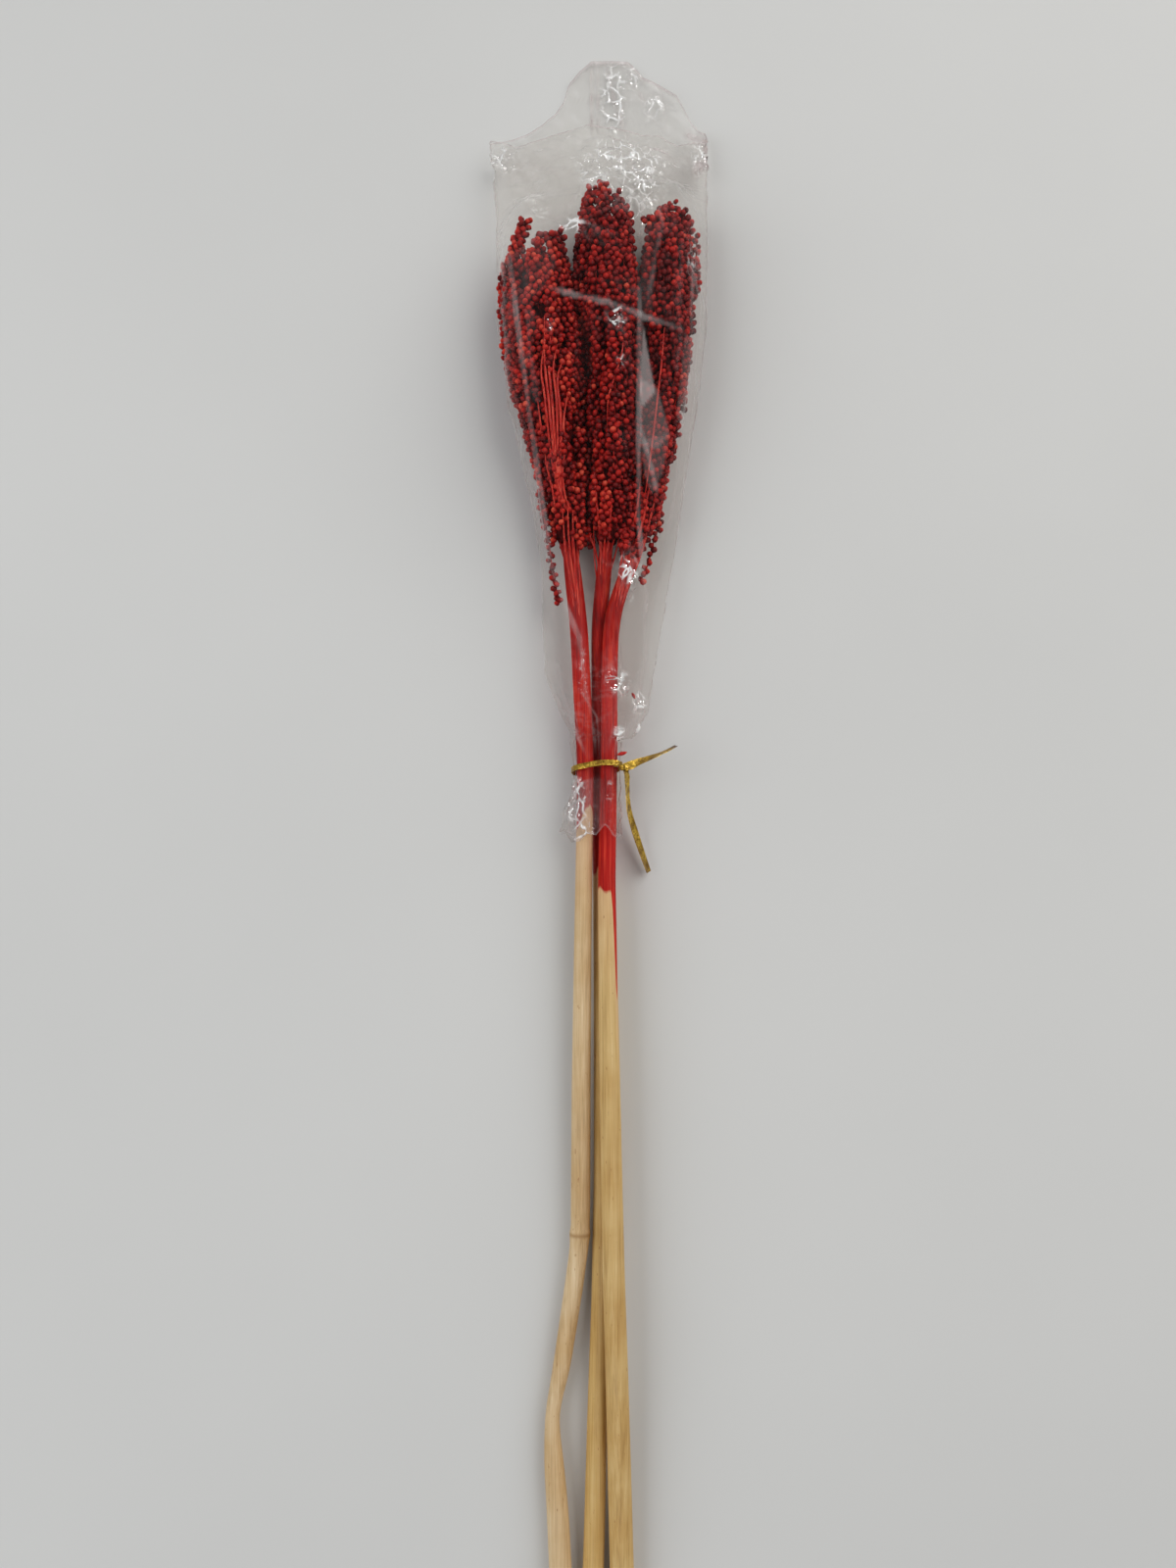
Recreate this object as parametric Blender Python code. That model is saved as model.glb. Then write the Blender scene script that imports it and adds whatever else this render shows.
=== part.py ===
"""A bunch of three dried sorghum heads, dyed red, in a clear film sleeve closed with a gold twist tie.

The bunch lies on a surface, as picked and packed. Y runs along it, with the heads towards +Y and the
cut ends towards -Y. Z is up, and the surface is at Z = 0. The origin is on the surface under the tie,
which is the middle of the bunch's length. Lengths in the tables are millimetres and become metres
where they are used.
"""

import math
import random

import bmesh
import bpy
from mathutils import Vector

MM = 0.001
# The most surface, in square metres, that pockets closed in between pieces may have
POCKET_AREA = 4e-4

# Driving dimensions, in millimetres
TIP_TO_TIE = 296.0
TIE_TO_CUT_END = 377.3
FLAP_REACH = 378.0
FILM_WALL = 0.6
FILM_CLEARANCE = 0.5
TOUCH_GAP = 0.3
TIE_WIDTH = 4.0
TIE_THICKNESS = 0.8

# A head's stations, from the base of the panicle to its tip: how far along the bunch (y), the middle
# of the head there (x, z), and its half width and half height.
HEADS = {
    "left": (
        (80, -10.6, 14.5, 4.3, 4.2),
        (92, -12.0, 14.5, 5.6, 6.0),
        (105, -13.9, 14.8, 8.0, 8.6),
        (134, -17.3, 16.0, 11.2, 12.6),
        (159, -20.2, 17.4, 14.0, 15.6),
        (184, -24.4, 18.1, 18.2, 17.0),
        (210, -26.3, 18.3, 18.5, 17.2),
        (236, -29.8, 18.1, 17.2, 17.0),
        (258, -30.2, 17.6, 16.2, 16.0),
        (270, -30.4, 17.2, 12.5, 12.5),
        (278, -30.6, 17.0, 4.0, 4.0),
    ),
    "middle": (
        (80, 1.0, 12.0, 4.0, 4.2),
        (92, 2.4, 13.4, 5.4, 6.2),
        (105, 3.9, 14.8, 8.2, 9.0),
        (134, 6.1, 16.6, 10.7, 12.8),
        (159, 7.2, 17.6, 11.9, 15.8),
        (184, 7.9, 18.2, 12.7, 17.0),
        (210, 7.1, 18.5, 13.3, 17.4),
        (236, 4.4, 18.6, 15.6, 17.5),
        (262, 4.2, 18.4, 15.6, 17.2),
        (280, 3.0, 17.8, 13.0, 14.0),
        (289, 2.0, 17.6, 8.6, 9.4),
        (TIP_TO_TIE, 1.5, 17.5, 3.4, 3.6),
    ),
    "right": (
        (80, 8.7, 16.0, 4.1, 4.2),
        (92, 12.9, 15.8, 4.5, 5.4),
        (112, 20.3, 15.6, 5.6, 7.6),
        (129, 24.6, 15.6, 7.0, 9.8),
        (150, 27.8, 15.8, 7.7, 12.0),
        (170, 31.5, 16.2, 8.8, 14.0),
        (194, 34.6, 16.7, 10.6, 15.5),
        (220, 35.3, 17.1, 13.5, 16.0),
        (246, 35.4, 17.1, 14.1, 16.0),
        (266, 35.2, 16.8, 12.6, 14.6),
        (279, 35.9, 16.4, 8.4, 9.8),
        (287, 36.0, 16.2, 3.2, 3.4),
    ),
}

# A stem's stations, from its cut end to inside the base of its panicle, laid out as the heads' are.
# The left stem kinks at its joint and again where it is pinched.
STEMS = {
    "left": (
        (-TIE_TO_CUT_END, -15.2, 4.9, 4.9, 4.9),
        (-340, -16.9, 4.9, 4.9, 4.9),
        (-322, -17.9, 4.8, 4.8, 4.8),
        (-303, -19.6, 4.7, 4.4, 4.6),
        (-283, -20.9, 4.8, 2.9, 4.0),
        (-266, -16.8, 5.2, 3.9, 4.1),
        (-231, -11.3, 6.1, 4.2, 4.1),
        (-212, -8.6, 6.7, 4.2, 4.2),
        (-204, -8.3, 7.0, 4.4, 4.4),
        (-140, -8.0, 8.9, 4.3, 4.3),
        (-77, -7.3, 10.9, 4.0, 4.0),
        (-24, -6.4, 12.2, 3.9, 3.9),
        (2, -6.1, 12.6, 4.0, 4.0),
        (39, -7.8, 13.4, 4.3, 4.0),
        (67, -9.2, 14.2, 4.3, 4.0),
        (96, -12.4, 14.6, 4.2, 4.0),
    ),
    "middle": (
        (-TIE_TO_CUT_END, -4.0, 4.7, 4.7, 4.7),
        (-342, -2.6, 4.7, 4.6, 4.6),
        (-285, -0.9, 4.7, 4.5, 4.5),
        (-233, 0.9, 4.9, 4.4, 4.4),
        (-183, 1.8, 5.2, 4.3, 4.3),
        (-110, 1.7, 5.8, 4.1, 4.1),
        (-52, 1.2, 6.2, 3.9, 3.9),
        (2, 0.6, 6.6, 3.8, 3.8),
        (39, 0.4, 8.0, 3.8, 3.8),
        (69, 0.3, 10.6, 3.8, 3.8),
        (96, 2.8, 13.6, 3.8, 3.8),
    ),
    "right": (
        (-TIE_TO_CUT_END, 10.4, 5.3, 5.3, 5.3),
        (-340, 9.3, 7.3, 5.2, 5.2),
        (-302, 8.4, 9.8, 5.1, 5.1),
        (-263, 7.4, 12.4, 5.0, 5.0),
        (-223, 6.2, 14.2, 4.9, 4.9),
        (-183, 5.4, 14.8, 4.8, 4.8),
        (-140, 4.7, 14.8, 4.7, 4.7),
        (-97, 4.1, 14.8, 4.4, 4.4),
        (-52, 3.6, 14.6, 4.1, 4.1),
        (2, 4.8, 14.4, 3.9, 3.9),
        (39, 5.0, 15.0, 3.9, 3.9),
        (62, 5.5, 16.0, 3.9, 3.9),
        (76, 7.4, 16.2, 3.9, 3.9),
        (96, 14.4, 15.8, 3.8, 3.9),
    ),
}
# Where the red dye ends on each stem and the bare straw colour begins
DYE_LINE = {"left": -23.0, "middle": -45.0, "right": -57.0}
# Where the whole part of a stem ends inside its panicle
STEM_TOP = 96.0
STEM_SIDES = 10

# A panicle is whorls of grain clusters round the stem. Each whorl starts at a share of the
# panicle's length and holds so many clusters.
WHORLS = ((0.03, 3), (0.19, 4), (0.37, 4), (0.56, 4), (0.73, 4))
CLUSTER_SHARE = 0.27
CLUSTER_RADIUS = 7.6
CLUSTER_LEAST = 3.6
# A cluster grows to this share of the head's half thickness, and its foot starts so far inside
CLUSTER_OF_HEAD = 0.5
# How full a cluster is at its two ends, and how fast the cluster on the tip fills, ring by ring
CLUSTER_END = 0.34
TIP_END = 0.6
TIP_FILLING = 0.2
TIP_CLUSTER = 34.0
# How far short of the tip the other clusters end
TIP_CLEAR = (4, 9)
# How far a cluster leans and strays from its even place, in radians and as a share of the length
CLUSTER_LEAN = 0.25
CLUSTER_TURN_STRAY = 0.12
CLUSTER_START_STRAY = 0.02
GRAIN_STEP = 6.0
GRAIN_RELIEF = 1.0
# How far a grain strays: in all, then in reach and along (mm), in turn (degrees) and always upwards
GRAIN_JITTER = 0.55
REACH_STRAY = 0.6
ALONG_STRAY = 1.0
TURN_STRAY = 12
GRAIN_LIFT = 0.5
# Round a cluster, in degrees from where it faces out: grains and dents by turns, then its plain back
GRAIN_TURNS = (-90, -54, -18, 18, 54, 90)
BACK_TURNS = (140, 220)
TIP_TURNS = (0, 45, 90, 135, 180, 225, 270, 315)
CORE_SHARE = 0.66
CORE_SIDES = 8
CORE_RINGS = 8
# The core starts above the foot of the panicle and is shorter than it
CORE_FOOT = 4.0
CORE_SHORTER = 20.0

# Bare branch bases, which show as red straws where they leave the stem
RIBS = 4
RIB_RADIUS = 0.9
RIB_SIDES = 4
RIB_FOOT = (2, 10)
RIB_TOP = (34, 52)
RIB_TURN_STRAY = 0.2
RIB_SUNK_IN_STEM = 0.3
RIB_UNDER_GRAINS = 0.2
STRAW_RADIUS = 0.7
STRAWS = 3
# The straws spread out above a place along the head, and lie closer below it
STRAWS_FAN_FROM = 120
STRAW_SPACING = (1.2, 2.0)
STRAW_SUNK = 0.35
# The bared straws on the left head, as places along it (y) with x beside its middle line
LEFT_STRAWS = ((206, 5.6), (190, 6.2), (168, 7.2), (148, 7.8), (126, 6.0), (104, 3.0), (88, 0.5))

# The sleeve's two side folds and its top, from the neck at the tie to the mouth: how far along (y),
# the x of the left fold, the x of the right fold, the height of the folds, and the height of the film
# midway. The film stands over the heads by itself where they are taller.
SLEEVE = (
    (14, -10.6, 16.0, 12.0, 20.5),
    (27, -17.5, 23.0, 11.0, 21.5),
    (45, -24.5, 25.8, 10.0, 22.5),
    (70, -26.5, 30.0, 9.5, 23.0),
    (100, -27.5, 36.0, 9.5, 25.0),
    (130, -32.5, 41.0, 10.5, 30.0),
    (160, -39.5, 45.5, 12.0, 34.0),
    (190, -45.0, 50.5, 13.5, 37.0),
    (220, -49.8, 53.6, 14.0, 38.0),
    (256, -51.0, 55.2, 13.5, 37.5),
    (288, -51.5, 55.2, 12.0, 32.0),
    (306, -53.0, 55.8, 10.0, 25.0),
    (326, -56.0, 56.0, 8.0, 18.0),
)
FOLD_RADIUS = 2.4
MOUTH_Y = 326.0
# The film stands up between its folds over this share of its half width, from this place along it
CROWN_SHARE = 0.55
CROWN_FROM = 40
# The back panel of the sleeve runs on past the mouth as a pointed flap. Its edge, as x and y.
FLAP = ((-56, 326), (-46, 331), (-33, 340), (-19, 357), (-7, 374), (5, FLAP_REACH), (16, 377),
        (24, 369), (38, 357), (48, 341), (56, 330))
# Where the film starts to lengthen towards the flap, and how late most of that comes
FLAP_ROOT = 292.0
FLAP_LATENESS = 1.5
# The gathered neck under the tie and the loose skirt below it: how far along, how much wider than the
# stems need, and how far aside, because the skirt hangs out on the left
NECK_MARGIN = 0.55
SKIRT = ((-34, 2.0, -1.6), (-22, 1.5, -1.2), (-10, 0.5, -0.4), (-3, 0.0, 0.0), (3, 0.0, 0.0),
         (12, 0.8, 0.0))
# The rings of the film along the bunch, from above the skirt to the mouth
FILM_PLACES = (24, 42, 64, 90, 118, 146, 174, 204, 236, 266, 290, 309, MOUTH_Y)
RING_REACH = 13.0
HEADS_START = 80.0
# A ring turns in equal steps, and its widest stretches, above and below, have points between
FILM_TURNS = 16
FILM_SPLITS = 4

# The tie's twisted knot and its two tails, as x, y, z
KNOT = ((9.1, -0.6, 18.9), (10.8, -1.4, 20.4), (13.2, -1.8, 20.4))
TAIL_UP = ((12.4, -1.6, 20.6), (18.0, 1.6, 19.4), (25.0, 4.4, 17.8), (31.0, 7.0, 16.6),
           (36.0, 9.6, 16.2))
TAIL_DOWN = ((12.4, -1.8, 20.4), (13.0, -9.0, 16.6), (14.0, -20.0, 11.6), (18.0, -33.0, 6.8),
             (23.2, -47.3, 3.4))

RED = (0.40, 0.018, 0.015, 1.0)
STRAW = (0.62, 0.44, 0.23, 1.0)
FILM = (0.92, 0.92, 0.92, 0.25)
GOLD = (0.60, 0.42, 0.08, 1.0)


def smooth_row(rows, y):
    """The row of a table at y, on a smooth curve through the rows on each side. Rows rise in y."""
    if y <= rows[0][0]:
        return rows[0]
    if y >= rows[-1][0]:
        return rows[-1]
    i = next(k for k in range(len(rows) - 1) if y <= rows[k + 1][0])
    a, b = rows[i], rows[i + 1]
    before, after = rows[max(i - 1, 0)], rows[min(i + 2, len(rows) - 1)]
    span = b[0] - a[0]
    t = (y - a[0]) / span
    made = [y]
    for k in range(1, len(a)):
        slope_a = (b[k] - before[k]) / (b[0] - before[0]) * span
        slope_b = (after[k] - a[k]) / (after[0] - a[0]) * span
        made.append(
            (2 * t**3 - 3 * t**2 + 1) * a[k]
            + (t**3 - 2 * t**2 + t) * slope_a
            + (3 * t**2 - 2 * t**3) * b[k]
            + (t**3 - t**2) * slope_b
        )
    return made


def smooth_path(points, count):
    """Evenly numbered points on a smooth curve through a few points, ends included."""
    made = []
    for n in range(count):
        place = n / (count - 1) * (len(points) - 1)
        i = min(int(place), len(points) - 2)
        t = place - i
        p1, p2 = Vector(points[i]), Vector(points[i + 1])
        p0 = Vector(points[i - 1]) if i else 2 * p1 - p2
        p3 = Vector(points[i + 2]) if i + 2 < len(points) else 2 * p2 - p1
        made.append(
            0.5 * (2 * p1 + (p2 - p0) * t + (2 * p0 - 5 * p1 + 4 * p2 - p3) * t**2
                   + (3 * p1 - p0 - 3 * p2 + p3) * t**3)
        )
    return made


def frames_along(points):
    """The point, tangent, side and lift directions at each point of a path."""
    made = []
    for i, point in enumerate(points):
        ahead, behind = points[min(i + 1, len(points) - 1)], points[max(i - 1, 0)]
        tangent = (ahead - behind).normalized()
        side = tangent.cross(Vector((0, 0, 1)))
        if side.length < 0.1:
            side = tangent.cross(Vector((1, 0, 0)))
        side.normalize()
        made.append((point, tangent, side, side.cross(tangent)))
    return made


def mesh_object(name, points, faces):
    """An object from points in millimetres, as triangles turned outwards."""
    mesh = bpy.data.meshes.new(name)
    mesh.from_pydata([Vector(p) * MM for p in points], [], faces)
    shape = bmesh.new()
    shape.from_mesh(mesh)
    bmesh.ops.triangulate(shape, faces=shape.faces)
    bmesh.ops.recalc_face_normals(shape, faces=shape.faces)
    if shape.calc_volume(signed=True) < 0:
        bmesh.ops.reverse_faces(shape, faces=shape.faces)
    shape.to_mesh(mesh)
    shape.free()
    return bpy.data.objects.new(name, mesh)


def skin(name, rings, crossed=False):
    """A closed body through rings with equal numbers of points, with a flat cap at each end.

    With crossed, points stand up and lie down by turns, as grains and the dents between them, and
    each four-cornered gap is split between its two low corners, so that every grain stays apart.
    """
    count = len(rings[0])
    points = [p for ring in rings for p in ring]
    faces = [list(range(count)), list(range(len(points) - count, len(points)))]
    for j in range(len(rings) - 1):
        for i in range(count):
            a, b = j * count + i, j * count + (i + 1) % count
            c, d = b + count, a + count
            if not crossed:
                faces.append((a, b, c, d))
            elif (i + j) % 2 == 0:
                faces += [(a, b, d), (b, c, d)]
            else:
                faces += [(a, b, c), (a, c, d)]
    return mesh_object(name, points, faces)


def fuse(name, pieces, material):
    """Joins closed pieces that overlap into one body, and puts it in the scene."""
    first, others = pieces[0], bpy.data.collections.new(name + "_pieces")
    bpy.context.scene.collection.objects.link(first)
    bpy.context.scene.collection.children.link(others)
    for piece in pieces[1:]:
        others.objects.link(piece)
    join = first.modifiers.new("join", "BOOLEAN")
    join.operation = "UNION"
    join.operand_type = "COLLECTION"
    join.collection = others
    join.solver = "MANIFOLD"
    graph = bpy.context.evaluated_depsgraph_get()
    mesh = bpy.data.meshes.new_from_object(first.evaluated_get(graph))
    mesh.name = name
    fill_pockets(mesh)
    for piece in pieces:
        bpy.data.objects.remove(piece)
    bpy.data.collections.remove(others)
    body = bpy.data.objects.new(name, mesh)
    finish(body, material)
    return body


def is_ear(shape, before, tip, after, others, normal):
    """Whether a flat face can lose the corner at tip without crossing itself or doubling an edge."""
    if shape.edges.get((before, after)):
        return False
    sides = ((before, tip), (tip, after), (after, before))
    if (tip.co - before.co).cross(after.co - tip.co).dot(normal) <= 0:
        return False
    return not any(
        all((b.co - a.co).cross(other.co - a.co).dot(normal) >= 0 for a, b in sides)
        for other in others
    )


def split_to_triangles(shape):
    """Splits each face into triangles, and never along an edge that another face already has."""
    for face in [f for f in shape.faces if len(f.verts) > 3]:
        normal = face.normal.copy()
        while face and len(face.verts) > 3:
            corners = list(face.verts)
            ears = []
            for i, tip in enumerate(corners):
                before, after = corners[i - 1], corners[(i + 1) % len(corners)]
                others = [v for v in corners if v not in (before, tip, after)]
                if is_ear(shape, before, tip, after, others, normal):
                    ears.append(((before.co - after.co).length, i))
            if not ears:
                break
            i = min(ears)[1]
            cut = bmesh.utils.face_split(face, corners[i - 1], corners[(i + 1) % len(corners)])[0]
            face = max(face, cut, key=lambda f: len(f.verts))
    bmesh.ops.triangulate(shape, faces=shape.faces)


def fill_pockets(mesh):
    """Keeps a mesh's outer shell, so that a pocket closed in between pieces is solid."""
    shape = bmesh.new()
    shape.from_mesh(mesh)
    waiting, shells = set(shape.faces), []
    while waiting:
        shell, edge_of_shell = set(), [waiting.pop()]
        while edge_of_shell:
            face = edge_of_shell.pop()
            shell.add(face)
            near = {other for edge in face.edges for other in edge.link_faces} & waiting
            waiting -= near
            edge_of_shell += near
        shells.append(shell)
    outer = max(shells, key=len)
    pockets = [face for shell in shells if shell is not outer for face in shell]
    if sum(face.calc_area() for face in pockets) > POCKET_AREA:
        raise ValueError(mesh.name + " is in separate pieces")
    bmesh.ops.delete(shape, geom=pockets, context="FACES")
    # a point between just two faces only splits their straight edge
    bmesh.ops.dissolve_verts(shape, verts=[v for v in shape.verts if len(v.link_edges) == 2])
    split_to_triangles(shape)
    shape.to_mesh(mesh)
    shape.free()


def finish(body, material):
    """Puts a body in the scene with its material."""
    if not body.users_collection:
        bpy.context.scene.collection.objects.link(body)
    body.data.materials.clear()
    body.data.materials.append(material)


def finish_material(name, colour, roughness, metallic=0.0):
    """A plain Principled material."""
    made = bpy.data.materials.new(name)
    made.use_nodes = True
    shader = made.node_tree.nodes["Principled BSDF"]
    shader.inputs["Base Color"].default_value = colour
    shader.inputs["Alpha"].default_value = colour[3]
    shader.inputs["Roughness"].default_value = roughness
    shader.inputs["Metallic"].default_value = metallic
    return made


# Stems

def stem_rings(rows, low, high):
    """Rings of points round a stem between two places along it, one at each of its stations."""
    rings = []
    for y in (low, *(row[0] for row in rows if low < row[0] < high), high):
        _, x, z, half_width, half_height = smooth_row(rows, y)
        rings.append([
            (x + half_width * math.cos(turn), y, z + half_height * math.sin(turn))
            for turn in (2 * math.pi * (n + 0.5) / STEM_SIDES for n in range(STEM_SIDES))
        ])
    return rings


# Heads

def head_point(rows, y, turn, inwards):
    """A point inside a head: at y, in the direction turn from its middle, inwards of its outline."""
    _, x, z, half_width, half_height = smooth_row(rows, y)
    return Vector((
        x + max(half_width - inwards, 0.0) * math.cos(turn),
        y,
        z + max(half_height - inwards, 0.0) * math.sin(turn),
    ))


def pressed_in(rows, point):
    """A point brought back to its head's outline if it stands outside it."""
    y = min(max(point.y, rows[0][0]), rows[-1][0])
    _, x, z, half_width, half_height = smooth_row(rows, y)
    out = math.hypot((point.x - x) / half_width, (point.z - z) / half_height)
    if out <= 1:
        return Vector((point.x, y, point.z))
    return Vector((x + (point.x - x) / out, y, z + (point.z - z) / out))


def grain_cluster(rows, start, length, turn, draw, at_tip=False):
    """One branch of a panicle, as a spindle whose surface stands up in grains."""
    steps = max(4, round(length / GRAIN_STEP))
    drift = draw.uniform(-CLUSTER_LEAN, CLUSTER_LEAN)
    axis = []
    for n in range(steps + 1):
        along = n / steps
        y = start + along * length
        half = min(smooth_row(rows, y)[3:])
        if at_tip:
            radius, depth = half - GRAIN_RELIEF, half
        else:
            radius = min(CLUSTER_RADIUS, max(CLUSTER_LEAST, CLUSTER_OF_HEAD * half))
            depth = radius + (1 - along) ** 2 * CLUSTER_OF_HEAD * half
        axis.append((head_point(rows, y, turn + drift * along, depth), radius))
    turns = TIP_TURNS if at_tip else GRAIN_TURNS + BACK_TURNS
    plain = () if at_tip else BACK_TURNS
    rings = []
    for n, (frame, (_, radius)) in enumerate(zip(frames_along([p for p, _ in axis]), axis)):
        point, _, side, lift = frame
        swell = math.sqrt(1 - (2 * n / steps - 1) ** 4)
        fullness = min(1.0, TIP_END + TIP_FILLING * n) if at_tip else max(swell, CLUSTER_END)
        ring = []
        for i, place in enumerate(turns):
            stands = (i + n) % 2 == 0 and place not in plain
            relief = GRAIN_RELIEF if stands else -GRAIN_RELIEF
            wobble = GRAIN_JITTER if stands else 0.0
            reach = radius * fullness + relief + draw.uniform(-REACH_STRAY, REACH_STRAY) * wobble
            angle = turn + math.radians(place + draw.uniform(-TURN_STRAY, TURN_STRAY) * wobble)
            spot = point + reach * (math.cos(angle) * side + math.sin(angle) * lift)
            spot.y += draw.uniform(-ALONG_STRAY, ALONG_STRAY) * wobble + (GRAIN_LIFT if stands else 0.0)
            ring.append(pressed_in(rows, spot))
        rings.append(ring)
    return skin("cluster", rings, crossed=True)


def panicle(rows, draw):
    """The core and the grain clusters of one head."""
    base, tip = rows[0][0], rows[-1][0]
    length = tip - base
    core = []
    for n in range(CORE_RINGS):
        y = base + CORE_FOOT + (length - CORE_SHORTER) * n / (CORE_RINGS - 1)
        core.append([
            head_point(rows, y, 2 * math.pi * (i + 0.5) / CORE_SIDES,
                       (1 - CORE_SHARE) * min(smooth_row(rows, y)[3:]))
            for i in range(CORE_SIDES)
        ])
    pieces = [skin("core", core)]
    for level, (share, count) in enumerate(WHORLS):
        for n in range(count):
            turn = 2 * math.pi * (n + 0.5 * (level % 2)) / count
            turn += draw.uniform(-CLUSTER_TURN_STRAY, CLUSTER_TURN_STRAY)
            start = base + length * (share + draw.uniform(-CLUSTER_START_STRAY, CLUSTER_START_STRAY))
            span = min(length * CLUSTER_SHARE, tip - draw.uniform(*TIP_CLEAR) - start)
            pieces.append(grain_cluster(rows, start, span, turn, draw))
    pieces.append(grain_cluster(rows, tip - TIP_CLUSTER, TIP_CLUSTER, 0.0, draw, at_tip=True))
    return pieces


def straw(points, radius, count):
    """A slender bare branch along a few points."""
    rings = []
    for point, _, side, lift in frames_along(smooth_path(points, count)):
        rings.append([
            point + radius * (math.cos(angle) * side + math.sin(angle) * lift)
            for angle in (2 * math.pi * i / RIB_SIDES for i in range(RIB_SIDES))
        ])
    return skin("straw", rings)


def branch_bases(stem, rows, draw):
    """Bare branches that leave the top of the stem and run up under the lowest clusters."""
    pieces = []
    for n in range(RIBS):
        turn = 2 * math.pi * (n + draw.uniform(-RIB_TURN_STRAY, RIB_TURN_STRAY)) / RIBS
        low, high = rows[0][0] - draw.uniform(*RIB_FOOT), rows[0][0] + draw.uniform(*RIB_TOP)
        route = []
        for k in range(4):
            y = low + (high - low) * k / 3
            if y < rows[0][0] + 2:
                _, x, z, half_width, half_height = smooth_row(stem, y)
                route.append((x + (half_width - RIB_SUNK_IN_STEM) * math.cos(turn), y,
                              z + (half_height - RIB_SUNK_IN_STEM) * math.sin(turn)))
            else:
                route.append(tuple(head_point(rows, y, turn, RIB_RADIUS + RIB_UNDER_GRAINS)))
        pieces.append(straw(route, RIB_RADIUS, 6))
    return pieces


def left_straws(rows):
    """The bundle of bared straws on top of the left head."""
    pieces = []
    for n in range(STRAWS):
        route = []
        for y, aside in LEFT_STRAWS:
            _, x, z, half_width, half_height = smooth_row(rows, y)
            spread = aside + (n - 1) * STRAW_SPACING[y > STRAWS_FAN_FROM]
            share = min(abs(spread) / half_width, 0.95)
            lift = half_height * math.sqrt(1 - share**2) - STRAW_SUNK
            route.append((x + spread, y, z + lift))
        pieces.append(straw(route[::-1], STRAW_RADIUS, 9))
    return pieces


def build_head(side, material):
    """A panicle and the dyed part of its stem, as one body."""
    draw = random.Random("sorghum " + side)
    rows, stem = HEADS[side], STEMS[side]
    pieces = [skin("stem", stem_rings(stem, DYE_LINE[side], STEM_TOP))]
    pieces += panicle(rows, draw)
    pieces += branch_bases(stem, rows, draw)
    if side == "left":
        pieces += left_straws(rows)
    return fuse("head_" + side, pieces, material)


def build_stalk(side, material):
    """The bare, straw-coloured part of a stem, down to its cut end."""
    rings = stem_rings(STEMS[side], -TIE_TO_CUT_END, DYE_LINE[side] - TOUCH_GAP)
    body = skin("stalk_" + side, rings)
    finish(body, material)
    return body


# Sleeve

def supports(y):
    """The ovals that hold the film out at y: heads or stems, the two side folds and the film's own top.

    Each is its middle (x, z) with its half width and half height."""
    ovals = []
    # what stands between two rings of the film counts for both
    nearby = (y - RING_REACH, y, y + RING_REACH) if y > HEADS_START else (y,)
    for side in HEADS:
        for place in nearby:
            rows = HEADS[side] if place > HEADS_START else STEMS[side]
            if place < rows[-1][0]:
                ovals.append(smooth_row(rows, place)[1:])
    if y >= SLEEVE[0][0]:
        _, left, right, height, top = smooth_row(SLEEVE, min(y, MOUTH_Y))
        inner = FOLD_RADIUS - FILM_WALL - FILM_CLEARANCE
        ovals.append((left + FOLD_RADIUS, height, inner, inner))
        ovals.append((right - FOLD_RADIUS, height, inner, inner))
        half = top / 2 - FILM_WALL - FILM_CLEARANCE
        if y > CROWN_FROM:
            ovals.append(((left + right) / 2, top / 2, CROWN_SHARE * (right - left) / 2, half))
    return ovals


def film_section(y, out):
    """Points round the film at y, out by so much from what holds it: it is pulled straight between."""
    ovals = supports(y)
    lines = []
    for n in range(FILM_TURNS):
        turn = 2 * math.pi * n / FILM_TURNS
        c, s = math.cos(turn), math.sin(turn)
        lines.append((c, s, out + max(x * c + z * s + math.hypot(a * c, b * s) for x, z, a, b in ovals)))
    corners = []
    for n in range(FILM_TURNS):
        c0, s0, d0 = lines[n - 1]
        c1, s1, d1 = lines[n]
        turned = c0 * s1 - c1 * s0
        corners.append(((d0 * s1 - d1 * s0) / turned, (c0 * d1 - c1 * d0) / turned))
    ring = []
    for n, (x, z) in enumerate(corners):
        ring.append((x, y, z))
        # the stretch on line n runs from corner n to the next
        if n in (FILM_TURNS // 4, 3 * FILM_TURNS // 4):
            next_x, next_z = corners[(n + 1) % FILM_TURNS]
            ring += [
                (x + (next_x - x) * k / FILM_SPLITS, y, z + (next_z - z) * k / FILM_SPLITS)
                for k in range(1, FILM_SPLITS)
            ]
    return ring


def flap_edge(x):
    """How far along the edge of the back panel lies at x."""
    return smooth_row(FLAP, x)[1]


def sleeve_layer(out):
    """Rings of one face of the film, from the end of the skirt to the mouth and the flap's edge."""
    rings = []
    for y in (*(row[0] for row in SKIRT), *FILM_PLACES):
        _, flare, aside = smooth_row(SKIRT, y) if y <= SKIRT[-1][0] else (y, 0.0, 0.0)
        margin = out + (NECK_MARGIN if y < HEADS_START else 0.0) + flare
        ring = [(x + aside, along, z) for x, along, z in film_section(y, margin)]
        if y > FLAP_ROOT:
            share = (y - FLAP_ROOT) / (MOUTH_Y - FLAP_ROOT)
            middle = sum(p[2] for p in ring) / len(ring)
            ring = [
                (p[0], y + share**FLAP_LATENESS * (flap_edge(p[0]) - MOUTH_Y) if p[2] < middle else y, p[2])
                for p in ring
            ]
        rings.append([(x, along, max(z, 0.0 if out > FILM_CLEARANCE else FILM_WALL))
                      for x, along, z in ring])
    return rings


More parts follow.
